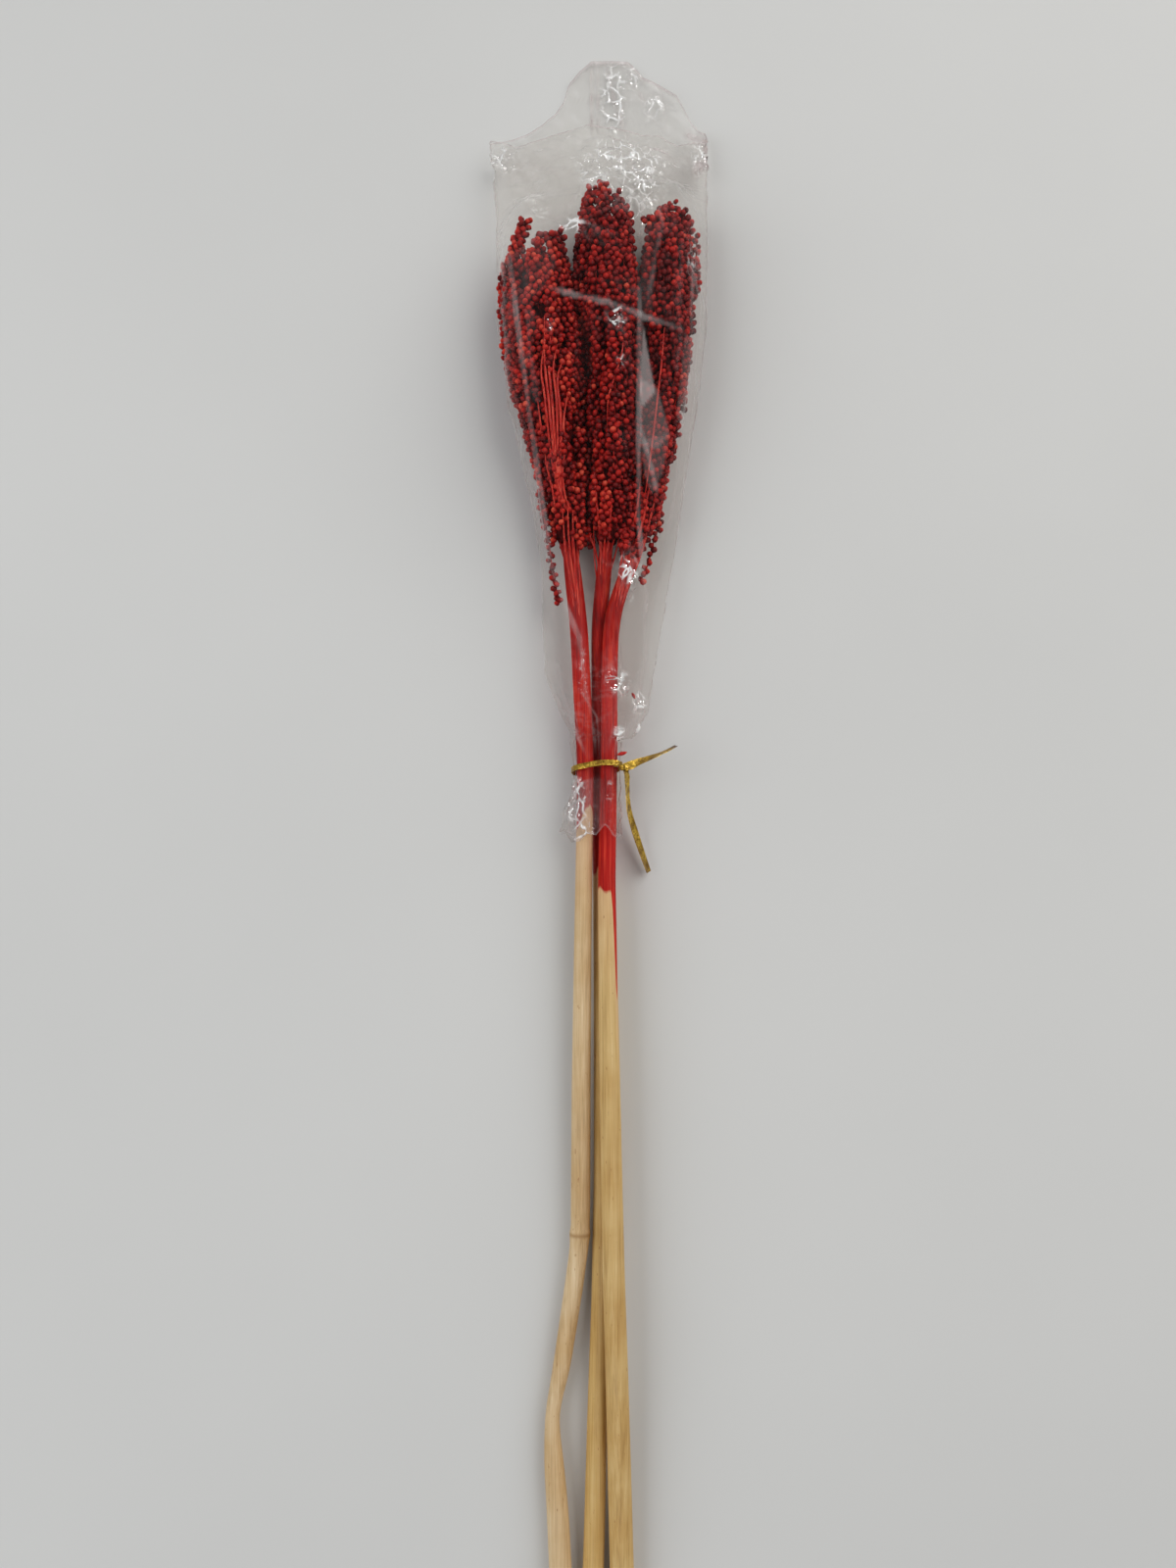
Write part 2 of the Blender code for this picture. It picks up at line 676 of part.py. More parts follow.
def build_sleeve(material):
    """The film sleeve: an outer and an inner face joined at the mouth's rim and the skirt's rim."""
    outer = sleeve_layer(FILM_CLEARANCE + FILM_WALL)
    inner = sleeve_layer(FILM_CLEARANCE)
    count, rows = len(outer[0]), len(outer)
    points = [p for ring in outer + inner for p in ring]
    faces = []
    for i in range(count):
        j = (i + 1) % count
        for k in range(rows - 1):
            a, b, c, d = k * count + i, k * count + j, (k + 1) * count + j, (k + 1) * count + i
            shift = rows * count
            faces += [(a, b, c, d), (a + shift, d + shift, c + shift, b + shift)]
        for k in (0, rows - 1):
            a, b = k * count + i, k * count + j
            faces.append((a, a + rows * count, b + rows * count, b))
    body = mesh_object("film_sleeve", points, faces)
    finish(body, material)
    return body


# Tie

def ribbon(name, points, turns, count, width, thickness):
    """A flat strip along a few points, turned about itself from one angle to another, in degrees."""
    rings = []
    for n, (point, _, side, lift) in enumerate(frames_along(smooth_path(points, count))):
        turn = math.radians(turns[0] + (turns[1] - turns[0]) * n / (count - 1))
        across = math.cos(turn) * side + math.sin(turn) * lift
        through = math.cos(turn) * lift - math.sin(turn) * side
        rings.append([
            point + a * width / 2 * across + b * thickness / 2 * through
            for a, b in ((-1, -1), (1, -1), (1, 1), (-1, 1))
        ])
    return skin(name, rings)


def tie_band():
    """The loop of the tie, laid round the gathered neck of the film."""
    clear = FILM_CLEARANCE + FILM_WALL + NECK_MARGIN + TOUCH_GAP
    inside, outside = film_section(0, clear), film_section(0, clear + TIE_THICKNESS)
    half, points = TIE_WIDTH / 2, []
    for near, far in zip(inside, outside):
        points += [(near[0], -half, near[2]), (far[0], -half, far[2]),
                   (far[0], half, far[2]), (near[0], half, near[2])]
    faces, total = [], len(points)
    for i in range(0, total, 4):
        for k in range(4):
            a, b = i + k, i + (k + 1) % 4
            faces.append((a, b, (b + 4) % total, (a + 4) % total))
    return mesh_object("band", points, faces)


def build_tie(material):
    """The twist tie: its loop, its knot and its two tails, as one body."""
    pieces = [
        tie_band(),
        ribbon("knot", KNOT, (0, 300), 9, 3.4, 2.0),
        ribbon("tail_up", TAIL_UP, (10, 75), 10, TIE_WIDTH, TIE_THICKNESS),
        ribbon("tail_down", TAIL_DOWN, (60, 25), 12, TIE_WIDTH - 1.0, TIE_THICKNESS),
    ]
    return fuse("twist_tie", pieces, material)


def main():
    for old in list(bpy.data.objects):
        bpy.data.objects.remove(old)
    red = finish_material("dyed_sorghum", RED, 0.55)
    straw_colour = finish_material("bare_stalk", STRAW, 0.45)
    film = finish_material("clear_film", FILM, 0.1)
    gold = finish_material("gold_foil", GOLD, 0.25, 1.0)
    for side in HEADS:
        build_head(side, red)
        build_stalk(side, straw_colour)
    build_sleeve(film)
    build_tie(gold)


main()
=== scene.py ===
# %% [markdown]
# # A bunch of dyed sorghum in a clear sleeve
# Three heads of dried sorghum, dyed red, lie in a film sleeve. A gold twist tie gathers the sleeve round
# their stems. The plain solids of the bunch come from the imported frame, and this lesson dresses them: small
# grains by the thousand, fibrous stems, thin creased film and gold foil. Every size is real and written in
# millimetres, and MM turns it into Blender's metres.

# %% Load the frame
import math
import random

import bpy
import numpy as np
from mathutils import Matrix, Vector


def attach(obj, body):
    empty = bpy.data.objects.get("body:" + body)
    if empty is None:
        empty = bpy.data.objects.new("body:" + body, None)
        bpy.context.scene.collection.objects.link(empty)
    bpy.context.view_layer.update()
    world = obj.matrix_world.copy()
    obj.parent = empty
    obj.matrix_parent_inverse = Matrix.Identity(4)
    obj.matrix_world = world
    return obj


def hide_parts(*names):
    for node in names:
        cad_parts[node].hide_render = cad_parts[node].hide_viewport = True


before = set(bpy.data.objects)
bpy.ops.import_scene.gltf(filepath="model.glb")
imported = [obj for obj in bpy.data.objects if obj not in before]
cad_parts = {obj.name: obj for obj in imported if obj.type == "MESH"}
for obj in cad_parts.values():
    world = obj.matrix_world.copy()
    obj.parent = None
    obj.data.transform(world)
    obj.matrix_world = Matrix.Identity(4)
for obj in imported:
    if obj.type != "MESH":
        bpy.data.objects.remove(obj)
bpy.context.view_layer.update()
MM = 0.001
scene = bpy.context.scene
print("solids:", ", ".join(sorted(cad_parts)))

# %% [markdown]
# ## Camera
# The photo looks almost straight down at the bunch, from a little towards the stems. A wide lens close by
# gives the same view: the tall heads lean outwards a little and the stems run to the frame's lower edge.

# %% Camera
AIM = Vector((-4.95, -5.43, 0.0)) * MM
CAMERA_TILT = math.radians(9)
CAMERA_DISTANCE = 560 * MM
LENS, LONG_SIDE = 27.09, 36.0

bpy.ops.object.select_all(action="DESELECT")
backwards = Vector((0, -math.sin(CAMERA_TILT), math.cos(CAMERA_TILT)))
bpy.ops.object.camera_add(location=AIM + backwards * CAMERA_DISTANCE, rotation=(CAMERA_TILT, 0, 0))
camera = bpy.context.object
camera.name = "camera"
camera.data.sensor_fit, camera.data.sensor_height, camera.data.lens = "VERTICAL", LONG_SIDE, LENS
camera.data.clip_start, camera.data.clip_end = 0.01, 20
scene.camera = camera
scene.view_settings.view_transform = "Standard"
print("camera at", [round(v / MM) for v in camera.location], "mm")

# %% [markdown]
# ## Materials from nodes
# Each finish is a small network of nodes. Two helpers keep the networks short: one adds a node with its
# settings and links, and one adds a colour ramp from a list of stops.

# %% Helpers for nodes
def add_node(tree, kind, inputs=None, **settings):
    """A node of that kind. An input that is a socket is linked, and any other value is set."""
    made = tree.nodes.new(kind)
    for name, value in settings.items():
        setattr(made, name, value)
    for name, value in (inputs or {}).items():
        if isinstance(value, bpy.types.NodeSocket):
            tree.links.new(value, made.inputs[name])
        else:
            made.inputs[name].default_value = value
    return made


def add_ramp(tree, factor, stops):
    """A colour ramp on factor, from stops of (place, colour)."""
    ramp = add_node(tree, "ShaderNodeValToRGB", {"Fac": factor})
    elements = ramp.color_ramp.elements
    while len(elements) < len(stops):
        elements.new(0.5)
    for element, (place, colour) in zip(elements, stops):
        element.position = place
        element.color = (*colour, 1.0) if len(colour) == 3 else (colour[0],) * 3 + (1.0,)
    return ramp.outputs["Color"]


def add_pattern(tree, scale, stretch=(1, 1, 1), detail=3.0, rough=0.5):
    """Noise on the piece's own place in metres, stretched along an axis where that is below 1."""
    place = add_node(tree, "ShaderNodeTexCoord").outputs["Object"]
    turned = add_node(tree, "ShaderNodeMapping", {"Vector": place, "Scale": stretch}).outputs["Vector"]
    noise = add_node(tree, "ShaderNodeTexNoise", {
        "Vector": turned, "Scale": scale, "Detail": detail, "Roughness": rough})
    return noise.outputs["Fac"]


def add_sum(tree, operation, first, second, clamp=False):
    """Two values put together by a Math node."""
    made = add_node(tree, "ShaderNodeMath", operation=operation, use_clamp=clamp)
    for socket, value in zip(made.inputs, (first, second)):
        if isinstance(value, bpy.types.NodeSocket):
            tree.links.new(value, socket)
        else:
            socket.default_value = value
    return made.outputs["Value"]


def add_blend(tree, factor, first, second, blend="MIX"):
    """Two colours mixed by factor."""
    made = add_node(tree, "ShaderNodeMix", data_type="RGBA", blend_type=blend)
    for place, value in ((0, factor), (6, first), (7, second)):
        socket = made.inputs[place]
        if isinstance(value, bpy.types.NodeSocket):
            tree.links.new(value, socket)
        else:
            socket.default_value = value if place == 0 else (*value, 1.0)
    return made.outputs[2]


def new_material(name, **shine):
    """A material with a Principled shader, with the shine's values set on its own sockets."""
    material = bpy.data.materials.new(name)
    material.use_nodes = True
    tree = material.node_tree
    shader = tree.nodes["Principled BSDF"]
    for socket, value in shine.items():
        shader.inputs[socket.replace("_", " ").title().replace("Ior", "IOR")].default_value = value
    return material, tree, shader


def add_bump(tree, shader, height, distance):
    """A bump of that real depth in mm on the shader's normal."""
    bump = add_node(tree, "ShaderNodeBump", {"Height": height, "Distance": distance * MM})
    tree.links.new(bump.outputs["Normal"], shader.inputs["Normal"])


print("helpers for nodes are ready")

# %% [markdown]
# ## Floor and light
# The bunch lies on a pale table in soft light from a window. The floor is one large plane. A wide soft light
# from the upper right gives the faint shadow on the left and a second fills it. A few small lamps stand well
# to the side for the glints alone: film that lies flat mirrors nothing of them, and only its creases do.

# %% Floor
FLOOR_SIZE = 8.0
bpy.ops.object.select_all(action="DESELECT")
bpy.ops.mesh.primitive_plane_add(size=FLOOR_SIZE)
floor = bpy.context.object
floor.name = "floor"
floor_finish, tree, shader = new_material("pale_table", roughness=0.75, specular_ior_level=0.2)
patches = add_pattern(tree, 2.5, detail=4)
tree.links.new(add_ramp(tree, patches, [(0.3, (0.66, 0.66, 0.645)), (0.7, (0.70, 0.70, 0.685))]),
               shader.inputs["Base Color"])
floor.data.materials.append(floor_finish)

# %% Lights
def soft_light(name, place, aim, size, power, colour=(1, 1, 1)):
    """A square light that faces aim. Places and size in metres, power in watts."""
    place, aim = Vector(place), Vector(aim)
    turn = (place - aim).to_track_quat("Z", "Y").to_euler()
    bpy.ops.object.light_add(type="AREA", location=place, rotation=turn)
    light = bpy.context.object
    light.name, light.data.size, light.data.energy, light.data.color = name, size, power, colour
    return light


window = soft_light("window", (1.5, 0.9, 1.5), (0, 0.05, 0), 2.4, 44.5, (1.0, 0.985, 0.96))
window.visible_glossy = False  # film mirrors only small lamps, as in the photo, and no broad white patch
fill = soft_light("fill", (-1.7, -0.3, 1.3), (0, 0, 0), 2.0, 30, (0.96, 0.98, 1.0))
fill.visible_glossy = False
LAMP_SIZE, LAMP_POWER = 0.14, 6.0
LAMPS = [(0.95, 0.90, 1.10), (-0.90, 0.80, 1.15), (0.30, 1.55, 0.95), (-0.35, -0.80, 1.20),
         (0.95, -0.35, 1.10)]
for number, place in enumerate(LAMPS):
    lamp = soft_light(f"glint_lamp_{number + 1}", place, (0, 0.15, 0), LAMP_SIZE, LAMP_POWER)
    lamp.visible_diffuse = False
world = bpy.data.worlds.new("soft_room")
scene.world = world
world.use_nodes = True
world.node_tree.nodes["Background"].inputs["Color"].default_value = (0.95, 0.96, 1.0, 1)
world.node_tree.nodes["Background"].inputs["Strength"].default_value = 0.14

# %% [markdown]
# ## The measured shape of the bunch
# A head is an oval rod that swells and narrows, and so is a stem. Each table below gives, from the cut end
# or the head's base upwards, how far along (y), the middle (x, z), half the width and half the height. They
# are the same values as the solids', so the detail falls where the solids are.

# %% Heads and stems as tables
HEADS = {
    "left": [(80, -10.6, 14.5, 4.3, 4.2), (92, -12.0, 14.5, 5.6, 6.0), (105, -13.9, 14.8, 8.0, 8.6),
             (134, -17.3, 16.0, 11.2, 12.6), (159, -20.2, 17.4, 14.0, 15.6), (184, -24.4, 18.1, 18.2, 17.0),
             (210, -26.3, 18.3, 18.5, 17.2), (236, -29.8, 18.1, 17.2, 17.0), (258, -30.2, 17.6, 16.2, 16.0),
             (270, -30.4, 17.2, 12.5, 12.5), (278, -30.6, 17.0, 4.0, 4.0)],
    "middle": [(80, 1.0, 12.0, 4.0, 4.2), (92, 2.4, 13.4, 5.4, 6.2), (105, 3.9, 14.8, 8.2, 9.0),
               (134, 6.1, 16.6, 10.7, 12.8), (159, 7.2, 17.6, 11.9, 15.8), (184, 7.9, 18.2, 12.7, 17.0),
               (210, 7.1, 18.5, 13.3, 17.4), (236, 4.4, 18.6, 15.6, 17.5), (262, 4.2, 18.4, 15.6, 17.2),
               (280, 3.0, 17.8, 13.0, 14.0), (289, 2.0, 17.6, 8.6, 9.4), (296, 1.5, 17.5, 3.4, 3.6)],
    "right": [(80, 8.7, 16.0, 4.1, 4.2), (92, 12.9, 15.8, 4.5, 5.4), (112, 20.3, 15.6, 5.6, 7.6),
              (129, 24.6, 15.6, 7.0, 9.8), (150, 27.8, 15.8, 7.7, 12.0), (170, 31.5, 16.2, 8.8, 14.0),
              (194, 34.6, 16.7, 10.6, 15.5), (220, 35.3, 17.1, 13.5, 16.0), (246, 35.4, 17.1, 14.1, 16.0),
              (266, 35.2, 16.8, 12.6, 14.6), (279, 35.9, 16.4, 8.4, 9.8), (287, 36.0, 16.2, 3.2, 3.4)],
}
STEMS = {
    "left": [(-377.3, -15.2, 4.9, 4.9, 4.9), (-340, -16.9, 4.9, 4.9, 4.9), (-322, -17.9, 4.8, 4.8, 4.8),
             (-303, -19.6, 4.7, 4.4, 4.6), (-283, -20.9, 4.8, 2.9, 4.0), (-266, -16.8, 5.2, 3.9, 4.1),
             (-231, -11.3, 6.1, 4.2, 4.1), (-212, -8.6, 6.7, 4.2, 4.2), (-204, -8.3, 7.0, 4.4, 4.4),
             (-140, -8.0, 8.9, 4.3, 4.3), (-77, -7.3, 10.9, 4.0, 4.0), (-24, -6.4, 12.2, 3.9, 3.9),
             (2, -6.1, 12.6, 4.0, 4.0), (39, -7.8, 13.4, 4.3, 4.0), (67, -9.2, 14.2, 4.3, 4.0),
             (96, -12.4, 14.6, 4.2, 4.0), (118, -15.0, 15.0, 2.6, 2.6)],
    "middle": [(-377.3, -4.0, 4.7, 4.7, 4.7), (-342, -2.6, 4.7, 4.6, 4.6), (-285, -0.9, 4.7, 4.5, 4.5),
               (-233, 0.9, 4.9, 4.4, 4.4), (-183, 1.8, 5.2, 4.3, 4.3), (-110, 1.7, 5.8, 4.1, 4.1),
               (-52, 1.2, 6.2, 3.9, 3.9), (2, 0.6, 6.6, 3.8, 3.8), (39, 0.4, 8.0, 3.8, 3.8),
               (69, 0.3, 10.6, 3.8, 3.8), (96, 2.8, 13.6, 3.8, 3.8), (118, 4.6, 15.2, 2.4, 2.4)],
    "right": [(-377.3, 10.4, 5.3, 5.3, 5.3), (-340, 9.3, 7.3, 5.2, 5.2), (-302, 8.4, 9.8, 5.1, 5.1),
              (-263, 7.4, 12.4, 5.0, 5.0), (-223, 6.2, 14.2, 4.9, 4.9), (-183, 5.4, 14.8, 4.8, 4.8),
              (-140, 4.7, 14.8, 4.7, 4.7), (-97, 4.1, 14.8, 4.4, 4.4), (-52, 3.6, 14.6, 4.1, 4.1),
              (2, 4.8, 14.4, 3.9, 3.9), (39, 5.0, 15.0, 3.9, 3.9), (62, 5.5, 16.0, 3.9, 3.9),
              (76, 7.4, 16.2, 3.9, 3.9), (96, 14.4, 15.8, 3.8, 3.9), (118, 22.2, 15.6, 2.4, 2.4)],
}
DYE_LINE = {"left": -23, "middle": -45, "right": -57}


def smooth_table(rows, reach):
    """The table at every millimetre, with its corners rounded over so many millimetres each way."""
    rows = np.array(rows, float)
    y = np.arange(rows[0, 0], rows[-1, 0] + 0.5, 1.0)
    window = np.ones(2 * reach + 1) / (2 * reach + 1)
    columns = [y]
    for column in rows.T[1:]:
        line = np.interp(y, rows[:, 0], column)
        ends = np.pad(line, reach, mode="reflect", reflect_type="odd")
        columns.append(np.convolve(ends, window, mode="valid"))
    return np.array(columns)


def at(table, y):
    """The table's columns at y: x, z, half width, half height."""
    return [np.interp(y, table[0], column) for column in table[1:]]


head_table = {side: smooth_table(rows, 5) for side, rows in HEADS.items()}
stem_table = {side: smooth_table(rows, 6) for side, rows in STEMS.items()}
for side, table in head_table.items():
    print(side, "head is", round(table[0][-1] - table[0][0]), "mm long and",
          round(2 * float(table[3].max())), "mm wide")

# %% [markdown]
# ## Helpers for meshes
# A stem or the core of a head is a disc that is extruded from one section to the next and resized there, as
# by hand with E and S. A fine straw is a curve with a round bevel that is made a mesh. The last helper hands
# a finished piece to the frame: it rides on the one rigid body and names the solids that it stands for.

# %% Mesh helpers
def start_fresh():
    """Nothing selected, so that the next operator acts on its own piece only."""
    if bpy.context.object and bpy.context.object.mode != "OBJECT":
        bpy.ops.object.mode_set(mode="OBJECT")
    bpy.ops.object.select_all(action="DESELECT")


def apply_all(piece):
    """The piece's place, turn and size go into its mesh."""
    bpy.ops.object.transform_apply(location=True, rotation=True, scale=True)
    return piece


def lofted_rod(name, sections, sides):
    """A disc that faces along Y, extruded through sections of (y, x, z, half width, half height)."""
    start_fresh()
    y, x, z, wide, high = sections[0]
    bpy.ops.mesh.primitive_circle_add(
        vertices=sides, radius=wide * MM, fill_type="NGON",
        location=(x * MM, y * MM, z * MM), rotation=(math.pi / 2, 0, 0))
    rod = apply_all(bpy.context.object)
    rod.name = rod.data.name = name
    bpy.ops.object.mode_set(mode="EDIT")
    bpy.ops.transform.resize(value=(1, 1, high / wide), center_override=(x * MM, y * MM, z * MM))
    for old, new in zip(sections, sections[1:]):
        step = ((new[1] - old[1]) * MM, (new[0] - old[0]) * MM, (new[2] - old[2]) * MM)
        bpy.ops.mesh.extrude_region_move(TRANSFORM_OT_translate={"value": step})
        bpy.ops.transform.resize(value=(new[3] / old[3], 1, new[4] / old[4]),
                                 center_override=(new[1] * MM, new[0] * MM, new[2] * MM))
    bpy.ops.mesh.select_all(action="SELECT")
    bpy.ops.mesh.normals_make_consistent(inside=False)
    bpy.ops.object.mode_set(mode="OBJECT")
    bpy.ops.object.shade_smooth_by_angle(angle=math.radians(50))
    return rod


def sections_of(table, start, end, step, share):
    """Sections of a table from start to end, with the oval made smaller by share."""
    made = []
    for y in np.linspace(start, end, max(2, int(abs(end - start) / step) + 1)):
        x, z, wide, high = at(table, y)
        made.append((float(y), float(x), float(z), float(wide * share), float(high * share)))
    return made


def smoothed(piece):
    """One subdivision surface, applied."""
    start_fresh()
    piece.select_set(True)
    bpy.context.view_layer.objects.active = piece
    modifier = piece.modifiers.new("smooth", "SUBSURF")
    modifier.levels = modifier.render_levels = 1
    bpy.ops.object.modifier_apply(modifier=modifier.name)
    return piece


def straws(name, paths, roundness):
    """Fine straws, one along each path of (x, y, z, radius) points, as one mesh."""
    start_fresh()
    curve = bpy.data.curves.new(name, "CURVE")
    curve.dimensions, curve.bevel_depth, curve.bevel_resolution = "3D", 1.0 * MM, roundness - 1
    curve.use_fill_caps = True
    for path in paths:
        spline = curve.splines.new("POLY")
        spline.points.add(len(path) - 1)
        for point, (x, y, z, radius) in zip(spline.points, path):
            point.co, point.radius = (x * MM, y * MM, z * MM, 1.0), radius
    piece = bpy.data.objects.new(name, curve)
    scene.collection.objects.link(piece)
    piece.select_set(True)
    bpy.context.view_layer.objects.active = piece
    bpy.ops.object.convert(target="MESH")
    bpy.ops.object.shade_smooth()
    return bpy.context.object


def paint(mesh, name, values):
    """A number at each point of the mesh, for a material to read."""
    mesh.attributes.new(name, "FLOAT", "POINT").data.foreach_set("value", np.asarray(values, np.float32))


def places(mesh):
    """The mesh's points, in millimetres."""
    found = np.empty(len(mesh.vertices) * 3, np.float32)
    mesh.vertices.foreach_get("co", found)
    return found.reshape(-1, 3).astype(float) / MM


def move_to(mesh, points):
    """The mesh's points go to these places, in millimetres."""
    mesh.vertices.foreach_set("co", (np.asarray(points) * MM).astype(np.float32).ravel())
    mesh.update()


def hand_over(piece, finish, slot, *nodes):
    """The piece gets its finish, rides on the body and stands for its solids."""
    piece.data.materials.clear()
    piece.data.materials.append(finish)
    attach(piece, "root")
    if nodes:
        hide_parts(*nodes)
    print(piece.name, "has", sum(len(f.vertices) - 2 for f in piece.data.polygons), "triangles")
    return piece


# %% [markdown]
# ## Stems
# A sorghum stem is a smooth, slightly oval cane with fine fibres along it, and thicker joints here and
# there. The upper part was dipped in dye with the head, and the dye ends in an uneven line. Each stem is a
# lofted rod. Its joint, kink and pinched place are in the sections, and the dye follows a number that is
# painted on the points, how far each is above the dye line, so that one material serves all three.

# %% The finish of the stems
stem_finish, tree, shader = new_material("dyed_and_bare_stem", roughness=0.42, specular_ior_level=0.15)
above = add_node(tree, "ShaderNodeAttribute", attribute_name="above_dye").outputs["Fac"]
joint = add_node(tree, "ShaderNodeAttribute", attribute_name="joint").outputs["Fac"]
edge_noise = add_pattern(tree, 260, (1, 0.25, 1), detail=4)
fibres = add_pattern(tree, 1500, (1, 0.02, 1), detail=5, rough=0.6)
broad = add_pattern(tree, 420, (1, 0.05, 1), detail=3)
clouds = add_pattern(tree, 30, detail=4)
specks = add_pattern(tree, 900, (1, 0.3, 1), detail=2)
dye = add_sum(tree, "MULTIPLY_ADD", edge_noise, 9.0)
dye.node.inputs[2].default_value = -4.5
dye = add_sum(tree, "ADD", dye, above)
dye = add_node(tree, "ShaderNodeMapRange", {
    "Value": dye, "From Min": -0.7, "From Max": 0.9}).outputs["Result"]
stain = add_node(tree, "ShaderNodeMapRange", {
    "Value": above, "From Min": -46.0, "From Max": 0.0, "To Max": 0.32}).outputs["Result"]
grain_lines = add_sum(tree, "ADD", add_sum(tree, "MULTIPLY", fibres, 0.6),
                      add_sum(tree, "MULTIPLY", broad, 0.4))
pale = add_node(tree, "ShaderNodeAttribute", attribute_name="pale").outputs["Fac"]
straw = add_ramp(tree, grain_lines, [(0.30, (0.44, 0.26, 0.085)), (0.5, (0.66, 0.44, 0.165)),
                                     (0.70, (0.78, 0.58, 0.27))])
pale_straw = add_ramp(tree, grain_lines, [(0.30, (0.50, 0.34, 0.18)), (0.5, (0.70, 0.51, 0.29)),
                                          (0.70, (0.82, 0.65, 0.42))])
straw = add_blend(tree, pale, straw, pale_straw)
warm = add_ramp(tree, clouds, [(0.38, (0.86, 0.78, 0.66)), (0.62, (1.0, 1.0, 1.0))])
straw = add_blend(tree, 1.0, straw, warm, "MULTIPLY")
straw = add_blend(tree, stain, straw, (0.78, 0.47, 0.33))
spot = add_node(tree, "ShaderNodeMapRange", {
    "Value": specks, "From Min": 0.70, "From Max": 0.76, "To Max": 0.6}).outputs["Result"]
straw = add_blend(tree, spot, straw, (0.30, 0.10, 0.03))
straw = add_blend(tree, joint, straw, (0.36, 0.19, 0.07))
red = add_ramp(tree, grain_lines, [(0.32, (0.22, 0.003, 0.003)), (0.5, (0.50, 0.008, 0.006)),
                                   (0.70, (0.78, 0.070, 0.030))])
uneven = add_ramp(tree, clouds, [(0.35, (0.62, 0.55, 0.55)), (0.6, (1, 1, 1))])
red = add_blend(tree, 1.0, red, uneven, "MULTIPLY")
tree.links.new(add_blend(tree, dye, straw, red), shader.inputs["Base Color"])
tree.links.new(add_ramp(tree, fibres, [(0.3, (0.36,)), (0.7, (0.55,))]), shader.inputs["Roughness"])
add_bump(tree, shader, grain_lines, 0.30)

pith_finish, tree, shader = new_material("cut_pith", roughness=0.9, specular_ior_level=0.15)
pores = add_pattern(tree, 2600, detail=4)
tree.links.new(add_ramp(tree, pores, [(0.35, (0.52, 0.38, 0.20)), (0.6, (0.83, 0.73, 0.52))]),
               shader.inputs["Base Color"])
add_bump(tree, shader, pores, 0.25)
print("stem finish has", len(stem_finish.node_tree.nodes), "nodes")

# %% The three stems
JOINT_SWELLING, JOINT_LENGTH = 0.10, 2.2
WAIST, WAIST_LENGTH, WAIST_ABOVE = 0.05, 1.6, 4  # the stem narrows a little just above a joint
STATION_STEP, CUT_DEPTH = 7.0, 0.25
JOINTS = {"left": (-208,), "middle": (), "right": ()}
PALENESS = {"left": 1.0, "middle": 0.0, "right": 0.15}  # the left stem has bleached more
RIND = 0.7
STREAK_SIDE = 0.5  # where a run of dye goes down the right stem, as an angle from its right side
STREAK_LENGTH, STREAK_WIDTH = 50, 0.33
DYE_WAVE = 5  # on the other stems the dye ends up to this much higher or lower round the stem
RING_LENGTH, RING_DARK = 0.9, 0.75
PITH_DEPTH = 0.4  # faces this near the cut end show the pith inside the rind


def stem(side):
    """One whole stem, from its cut end to its place in the head."""
    table = stem_table[side]
    sections = []
    stations = np.unique(np.concatenate([
        np.arange(table[0][0], table[0][-1], STATION_STEP),
        *[y + np.array([-5.0, -2.5, -1.2, 0.0, 1.0, 2.0, 4.0]) for y in JOINTS[side]], [table[0][-1]]]))
    for y in stations:
        x, z, wide, high = at(table, y)
        swell = 1 + sum(JOINT_SWELLING * math.exp(-(((y - j) / JOINT_LENGTH) ** 2))
                        - WAIST * math.exp(-(((y - j - WAIST_ABOVE) / WAIST_LENGTH) ** 2))
                        for j in JOINTS[side])
        sections.append((float(y), float(x), float(z), float(wide * swell), float(high * swell)))
    piece = lofted_rod("stem_" + side, sections, 20)
    bpy.ops.object.mode_set(mode="EDIT")
    bpy.ops.mesh.select_all(action="DESELECT")
    bpy.ops.object.mode_set(mode="OBJECT")
    cut = min(piece.data.polygons, key=lambda f: f.center.y)
    cut.select = True
    bpy.ops.object.mode_set(mode="EDIT")
    bpy.ops.mesh.inset(thickness=RIND * MM, depth=0)
    bpy.ops.mesh.inset(thickness=0.15 * MM, depth=-CUT_DEPTH * MM)
    bpy.ops.object.mode_set(mode="OBJECT")
    smoothed(piece)
    points = places(piece.data)
    above = points[:, 1] - DYE_LINE[side]
    x, z, _, _ = at(table, points[:, 1])
    turn = np.arctan2(points[:, 2] - z, points[:, 0] - x)
    if side == "right":
        above += STREAK_LENGTH * np.exp(-(((turn - STREAK_SIDE) / STREAK_WIDTH) ** 2))
    else:
        above += DYE_WAVE * np.cos(turn * 2 + 1)
    paint(piece.data, "above_dye", above)
    ring = np.zeros(len(points))
    for j in JOINTS[side]:
        ring += np.exp(-(((points[:, 1] - j) / RING_LENGTH) ** 2))
    paint(piece.data, "joint", np.clip(ring, 0, 1) * RING_DARK)
    paint(piece.data, "pale", np.full(len(points), PALENESS[side]))
    hand_over(piece, stem_finish, "bare_stalk", "stalk_" + side)
    piece.data.materials.append(pith_finish)
    end = table[0][0]
    for face in piece.data.polygons:
        middle = face.center / MM
        if middle.y < end + PITH_DEPTH:
            x, z, wide, high = at(table, middle.y)
            if math.hypot((middle.x - x) / (wide - RIND), (middle.z - z) / (high - RIND)) < 1:
                face.material_index = 1
    return piece


for side in STEMS:
    stem(side)

# %% [markdown]
# ## One grain
# A sorghum grain is a small round seed that sits in two husks, which cup its lower half. It is modelled
# once: a sphere of few faces, drawn long, flattened a little and widened below where the husks are. It has
# only 36 faces, because each head holds over two thousand copies.

